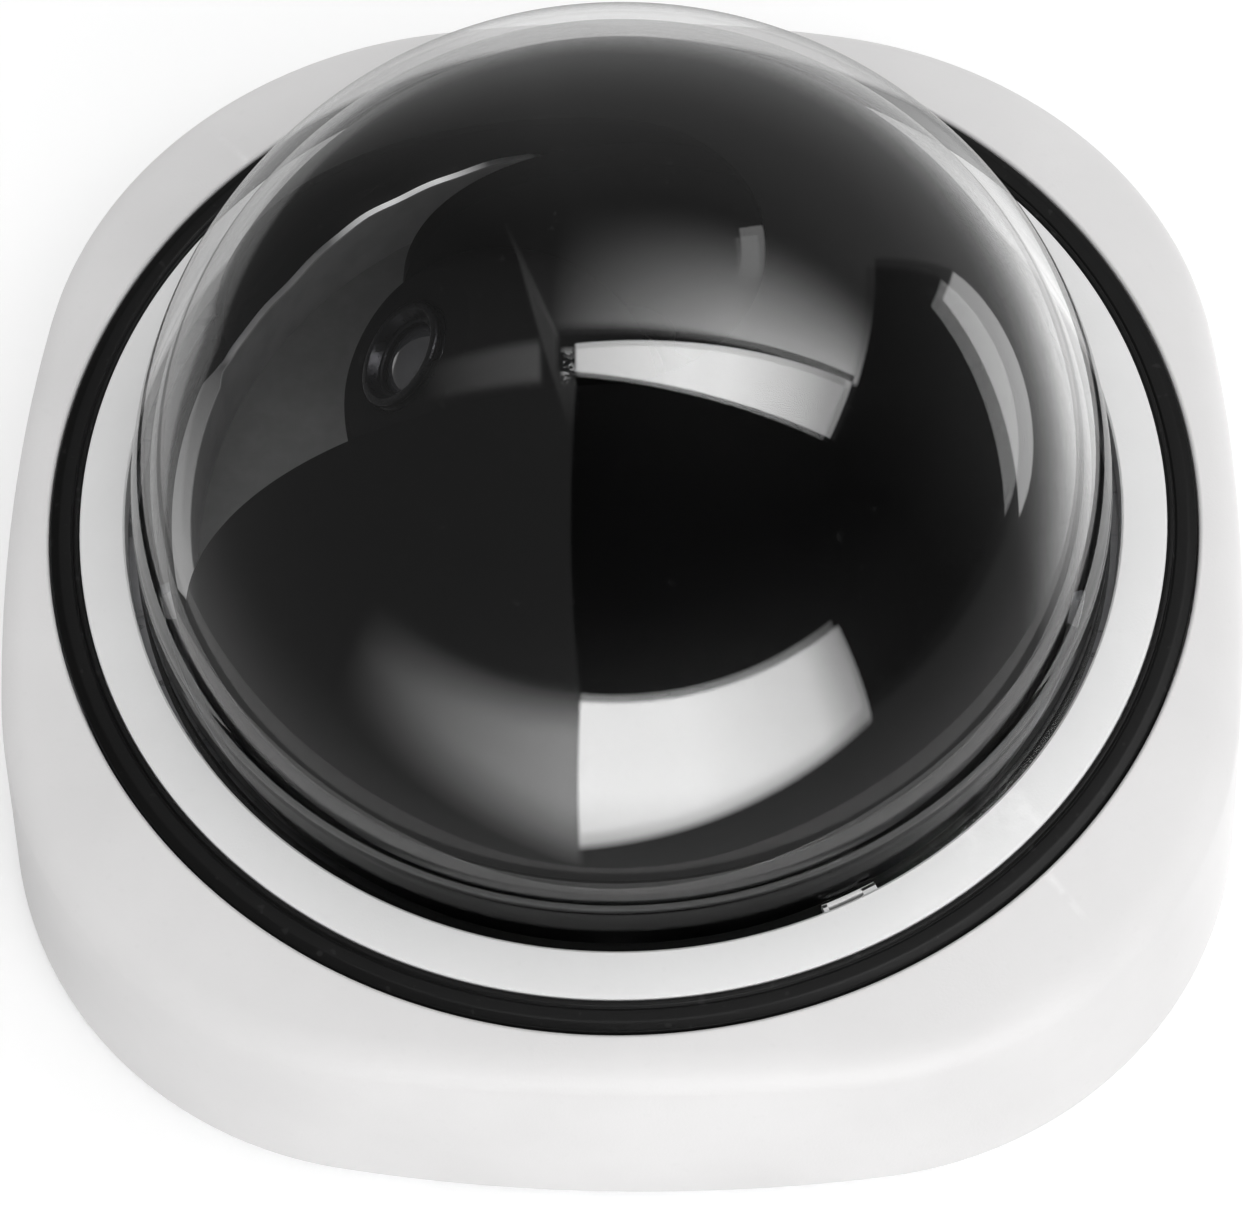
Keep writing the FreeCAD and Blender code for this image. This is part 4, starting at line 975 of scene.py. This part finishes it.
def soft_box(name, azimuth, elevation, distance, width, height, power):
    """A large soft light aimed at the middle of the object."""
    data = bpy.data.lights.new(name, "AREA")
    data.shape = "RECTANGLE"
    data.size = width
    data.size_y = height
    data.energy = power
    lamp = bpy.data.objects.new(name, data)
    bpy.context.scene.collection.objects.link(lamp)
    az, el = math.radians(azimuth), math.radians(elevation)
    place = Vector((math.cos(az) * math.cos(el), math.sin(az) * math.cos(el), math.sin(el)))
    lamp.location = place * distance
    lamp.rotation_euler = place.to_track_quat("Z", "Y").to_euler()
    lamp.visible_glossy = False
    lamp.visible_camera = False
    return lamp


soft_box("key", -68, 38, 1.0, 0.9, 0.9, 3.9)
soft_box("fill", 10, 45, 1.2, 1.0, 1.0, 1.8)
soft_box("rear", 80, 50, 1.2, 1.2, 0.8, 1.6)


class Sky(Nodes):
    """The studio round the object: mirror rays see its lights, all others a plain surround."""

    def __init__(self):
        world = bpy.data.worlds.new("studio")
        world.use_nodes = True
        bpy.context.scene.world = world
        self.tree = world.node_tree
        self.tree.nodes.clear()
        self.output = self.add("ShaderNodeOutputWorld")
        self.place = self.add("ShaderNodeTexCoord").outputs["Generated"]
        parts = self.add("ShaderNodeSeparateXYZ")
        self.join(self.place, parts.inputs[0])
        self.x, self.y, self.z = parts.outputs
        self.azimuth = self.degrees(self.math("ARCTAN2", self.y, self.x))
        self.elevation = self.degrees(self.math("ARCSINE", self.z))
        above_horizon = self.math("MAXIMUM", self.z, 0.02)
        self.over_x = self.math("DIVIDE", self.x, above_horizon)
        self.over_y = self.math("DIVIDE", self.y, above_horizon)
        self.aloft = self.step(self.z, 0.25, 0.1)

    def degrees(self, angle):
        return self.math("MULTIPLY", angle, 180 / math.pi)

    def step(self, value, edge, softness):
        """0 below the edge and 1 above it."""
        return self.span(value, edge - softness, edge + softness, 0, 1)

    def below(self, value, edge, softness):
        """1 below the edge and 0 above it."""
        return self.opposite(self.step(value, edge, softness))

    def inside(self, value, low, high, softness):
        return self.both(self.step(value, low, softness), self.below(value, high, softness))

    def turned(self, middle, lean):
        """How far a direction lies along and across a line that leans, in degrees."""
        run = self.math("SUBTRACT", self.azimuth, middle[0])
        rise = self.math("SUBTRACT", self.elevation, middle[1])
        cosine, sine = math.cos(math.radians(lean)), math.sin(math.radians(lean))
        along = self.sum(self.math("MULTIPLY", run, cosine), self.math("MULTIPLY", rise, sine))
        across = self.sum(self.math("MULTIPLY", rise, cosine), self.math("MULTIPLY", run, -sine))
        return along, across

    def distance(self, along, across):
        return self.math("SQRT", self.sum(self.math("MULTIPLY", along, along),
                                          self.math("MULTIPLY", across, across)))

    def past(self, a, b, c, softness):
        """0 on one side of the plane ax + by + cz = 0 and 1 on the other."""
        terms = [self.math("MULTIPLY", axis, factor)
                 for axis, factor in ((self.x, a), (self.y, b), (self.z, c))]
        return self.step(self.sum(*terms), 0.0, softness)

    def both(self, *masks):
        result = masks[0]
        for mask in masks[1:]:
            result = self.math("MULTIPLY", result, mask)
        return result

    def either(self, a, b):
        return self.math("MAXIMUM", a, b)

    def opposite(self, mask):
        return self.math("SUBTRACT", 1.0, mask)

    def blend(self, below, above, mask):
        """The first level where the mask is 0, the second where it is 1."""
        node = self.add("ShaderNodeMix", data_type="FLOAT")
        self.put(node.inputs[0], mask)
        self.put(node.inputs[2], below)
        self.put(node.inputs[3], above)
        return node.outputs[0]


# a small leaning rectangle high up on the right: (azimuth, elevation) and sizes in degrees
SMALL_MIDDLE = (47, 50.5)
SMALL_LENGTH = 17
SMALL_WIDTH = 5.5
SMALL_LEAN = -33

# a round light low on the right, of which a leaning edge leaves only the lower right part
ROUND_MIDDLE = (12, 12)
ROUND_RADIUS = 26
ROUND_LEAN = 43
ROUND_EDGE = -13.5       # it shows on the lower right, beyond this distance from the middle
ROUND_END = 13           # and up to here along the edge

# Straight edges overhead, on a ceiling one unit above the dome: x is right, y is back.
# A lean is how far an edge moves sideways for each unit along it.
GLOW_LEFT = -0.19
GLOW_LEAN = 0.42
GLOW_LINE = 0.018        # width of the bright line along the glow's left edge
SLIVER_LEFT = -0.26
SLIVER_LEAN = 0.28
CARD_LEFT = -0.14
CARD_LEAN = -0.09
STRIP_NEAR = -0.075
STRIP_NEAR_LEAN = 0.13
STRIP_FAR = 0.065
STRIP_FAR_LEAN = 0.055
STRIP_END = 1.22
STRIP_END_LEAN = 0.35
FRAME_WIDTH = 0.04
FRAME_END = 0.05


# other edges of the lights, as azimuth and elevation in degrees
CARD_RIGHT = 37.3
CARD_BOTTOM = -10.5
WINDOW_LEFT = -97
WINDOW_RIGHT = -40
WINDOW_TOP = 12.5
DULL_RIGHT = -97

SURROUNDINGS = 0.66      # soft light from all round
BACKDROP = 0.97          # what the camera sees past the floor


def room_level(s):
    """A dim veil in front and on the left, paler towards the right and low down."""
    veil = s.sum(0.135, s.span(s.elevation, -32, -12, 0.11, 0.0), s.span(s.y, 0.0, 0.5, 0.0, -0.05))
    lean = s.sum(s.elevation, s.span(s.azimuth, 90, 120, 0, 6))
    pale = s.sum(s.span(s.elevation, 25, 60, 0.24, 0.10), s.span(lean, -8, 20, 0.14, 0.0),
                 s.span(lean, -20, -8, 0.75, 0.0), s.span(s.elevation, -40, -26, -0.5, 0.0),
                 s.both(s.span(s.elevation, -34, -20, 1.9, 0.0), s.span(s.azimuth, 50, 72, 1, 0)))
    on_right = s.both(s.span(s.azimuth, 2, 36, 0, 1), s.below(s.azimuth, 116, 14))
    patch_top = s.span(s.azimuth, 148, 162, -18, -34)
    patch = s.both(s.inside(s.azimuth, 106, 166, 4), s.step(s.elevation, -44, 2),
                   s.below(s.math("SUBTRACT", s.elevation, patch_top), 0, 1.5))
    return s.blend(s.blend(veil, pale, on_right), 0.75, patch)


def with_ceiling_glow(s, level):
    """A pale glow behind the strip light, cut off on the left by a thin bright edge and a sliver."""
    fall = s.span(s.over_y, 0.1, 0.85, 1.0, 0.0)
    rise = s.sum(s.span(s.over_x, -0.25, 0.0, 0.03, 0.36), s.span(s.over_x, 0.0, 0.45, 0.0, 0.64))
    side = s.both(rise, s.span(s.over_x, 1.15, 2.1, 1.0, 0.15))
    right_of_end = s.past(1, GLOW_LEAN, -GLOW_LEFT, 0.006)
    right_of_line = s.past(1, GLOW_LEAN, -GLOW_LEFT - GLOW_LINE, 0.006)
    glow = s.both(fall, fall, side, s.aloft, s.step(s.over_y, 0.13, 0.02), right_of_end)
    line = s.both(right_of_end, s.opposite(right_of_line), s.aloft,
                  s.span(s.over_y, 0.05, 0.75, 0.35, 0.0), s.step(s.y, 0.02, 0.02))
    sliver = s.both(s.past(1, SLIVER_LEAN, -SLIVER_LEFT, 0.006), s.opposite(right_of_end), s.aloft,
                    s.span(s.over_y, -0.3, 0.05, 0.0, 0.28))
    return s.sum(level, s.math("MULTIPLY", glow, 4.6), line, sliver)


def with_small_light(s, level):
    along, across = s.turned(SMALL_MIDDLE, SMALL_LEAN)
    return s.blend(level, 1.7, s.both(s.inside(along, -SMALL_LENGTH / 2, SMALL_LENGTH / 2, 0.3),
                                      s.inside(across, -SMALL_WIDTH / 2, SMALL_WIDTH / 2, 0.3)))


def with_card(s, level, right_of_card_edge, above_strip):
    """A black card in front and to the right of the dome."""
    beyond_strip = s.past(1, -STRIP_END_LEAN, -STRIP_END - FRAME_END, 0.012)
    card = s.both(right_of_card_edge, s.either(s.opposite(above_strip), beyond_strip),
                  s.below(s.azimuth, CARD_RIGHT, 0.6), s.step(s.elevation, CARD_BOTTOM, 1.2),
                  s.step(s.math("SUBTRACT", s.elevation, s.azimuth), -33, 1.0))
    card_level = s.sum(0.008, s.span(s.azimuth, -15, 10, 0.0, 0.03),
                       s.span(s.elevation, 10, 34, 0.03, 0.0))
    return s.blend(level, card_level, card)


def with_strip_light(s, level, above_strip):
    """The strip light, with its dark frame and a ragged end."""
    length = s.both(s.opposite(s.past(1, -STRIP_END_LEAN, -STRIP_END, 0.008)), s.aloft, above_strip)
    framed = s.both(length, s.step(s.over_x, -0.22, 0.01),
                    s.opposite(s.past(-STRIP_FAR_LEAN, 1, -STRIP_FAR - FRAME_WIDTH, 0.004)))
    bright = s.both(length, s.step(s.over_x, -0.15, 0.006),
                    s.opposite(s.past(-STRIP_FAR_LEAN, 1, -STRIP_FAR, 0.004)))
    strip_level = s.sum(s.span(s.over_x, -0.2, 0.25, -3.5, 0.0),
                        s.span(s.over_x, 0.45, 1.1, 9.4, 3.4))
    ragged = s.both(s.inside(s.over_x, -0.20, -0.155, 0.01), s.inside(s.over_y, -0.09, 0.03, 0.02),
                    s.step(s.noise(0.03, 3), 0.52, 0.03))
    return s.blend(s.blend(s.blend(level, 0.12, framed), strip_level, bright), 4.0, ragged)


def with_window(s, level):
    """The window light low in front: its lower edge climbs to the right."""
    sill = s.span(s.azimuth, WINDOW_LEFT - 1, WINDOW_RIGHT, -28, -13)
    above_sill = s.span(s.math("SUBTRACT", s.elevation, sill), -1.0, 2.0, 0, 1)
    window = s.both(s.inside(s.azimuth, WINDOW_LEFT, WINDOW_RIGHT, 0.5), above_sill,
                    s.below(s.elevation, WINDOW_TOP, 0.6))
    window_level = s.sum(s.span(s.azimuth, -75, -40, 9.6, 5.6),
                         s.span(s.elevation, -25, -12, -3.0, 0.0))
    right_end = s.span(s.azimuth, -50, -42, 1.0, 0.55)
    return s.blend(level, s.math("MULTIPLY", window_level, right_end), window)


def with_round_light(s, level):
    """The round light low on the right, of which a crescent shows."""
    along, across = s.turned(ROUND_MIDDLE, ROUND_LEAN)
    crescent = s.both(s.below(s.distance(along, across), ROUND_RADIUS, 0.3),
                      s.below(across, ROUND_EDGE, 0.3), s.below(along, ROUND_END, 0.3))
    return s.blend(level, s.span(s.elevation, -9, 12, 3.4, 2.8), crescent)


def with_dull_left(s, level, right_of_card_edge):
    """The left side shows the window and the strip light again, dull and blurred."""
    sill = s.span(s.azimuth, -143, -98, -8, -27)
    height = s.both(s.span(s.math("SUBTRACT", s.elevation, sill), -7, 12, 0, 1),
                    s.below(s.elevation, 9, 6))
    window = s.both(height, s.span(s.azimuth, -146, -100, 0, 2.6), s.opposite(right_of_card_edge),
                    s.below(s.azimuth, DULL_RIGHT, 0.8))
    strip = s.both(s.inside(s.over_y, -0.08, 0.08, 0.02), s.span(s.over_x, -0.9, -0.3, 0.0, 0.6),
                   s.below(s.over_x, -0.29, 0.01), s.aloft)
    return s.sum(level, window, strip)


def make_sky():
    s = Sky()
    right_of_card_edge = s.past(1, CARD_LEAN, -CARD_LEFT, 0.006)
    above_strip = s.past(STRIP_NEAR_LEAN, 1, -STRIP_NEAR, 0.004)
    level = room_level(s)
    level = with_ceiling_glow(s, level)
    level = with_small_light(s, level)
    level = with_card(s, level, right_of_card_edge, above_strip)
    level = with_strip_light(s, level, above_strip)
    level = with_window(s, level)
    level = with_round_light(s, level)
    level = with_dull_left(s, level, right_of_card_edge)

    rays = s.add("ShaderNodeLightPath")
    behind = s.blend(SURROUNDINGS, BACKDROP, rays.outputs["Is Camera Ray"])
    mirrored = s.blend(behind, level, rays.outputs["Is Glossy Ray"])
    background = s.add("ShaderNodeBackground")
    s.join(mirrored, background.inputs["Strength"])
    background.inputs["Color"].default_value = grey(1.0)
    s.join(background.outputs[0], s.output.inputs["Surface"])


make_sky()

CAMERA_DISTANCE = 0.3362
CAMERA_AZIMUTH = math.radians(3.63)
CAMERA_ELEVATION = math.radians(61.29)
CAMERA_ROLL = math.radians(-2.59)
LOOK_AT = Vector((-0.3 * MM, 1.37 * MM, 0))
FIELD_OF_VIEW = math.radians(21.87)


def make_camera():
    data = bpy.data.cameras.new("camera")
    data.sensor_fit = "HORIZONTAL"
    data.angle = FIELD_OF_VIEW
    data.clip_start = 0.01
    camera = bpy.data.objects.new("camera", data)
    bpy.context.scene.collection.objects.link(camera)
    back = Vector((
        math.sin(CAMERA_AZIMUTH) * math.cos(CAMERA_ELEVATION),
        -math.cos(CAMERA_AZIMUTH) * math.cos(CAMERA_ELEVATION),
        math.sin(CAMERA_ELEVATION),
    ))
    camera.location = LOOK_AT + back * CAMERA_DISTANCE
    facing = back.to_track_quat("Z", "Y")
    roll = Quaternion((0, 0, 1), CAMERA_ROLL)
    camera.rotation_mode = "QUATERNION"
    camera.rotation_quaternion = facing @ roll
    bpy.context.scene.camera = camera


make_camera()
bpy.context.scene.view_settings.view_transform = "Standard"
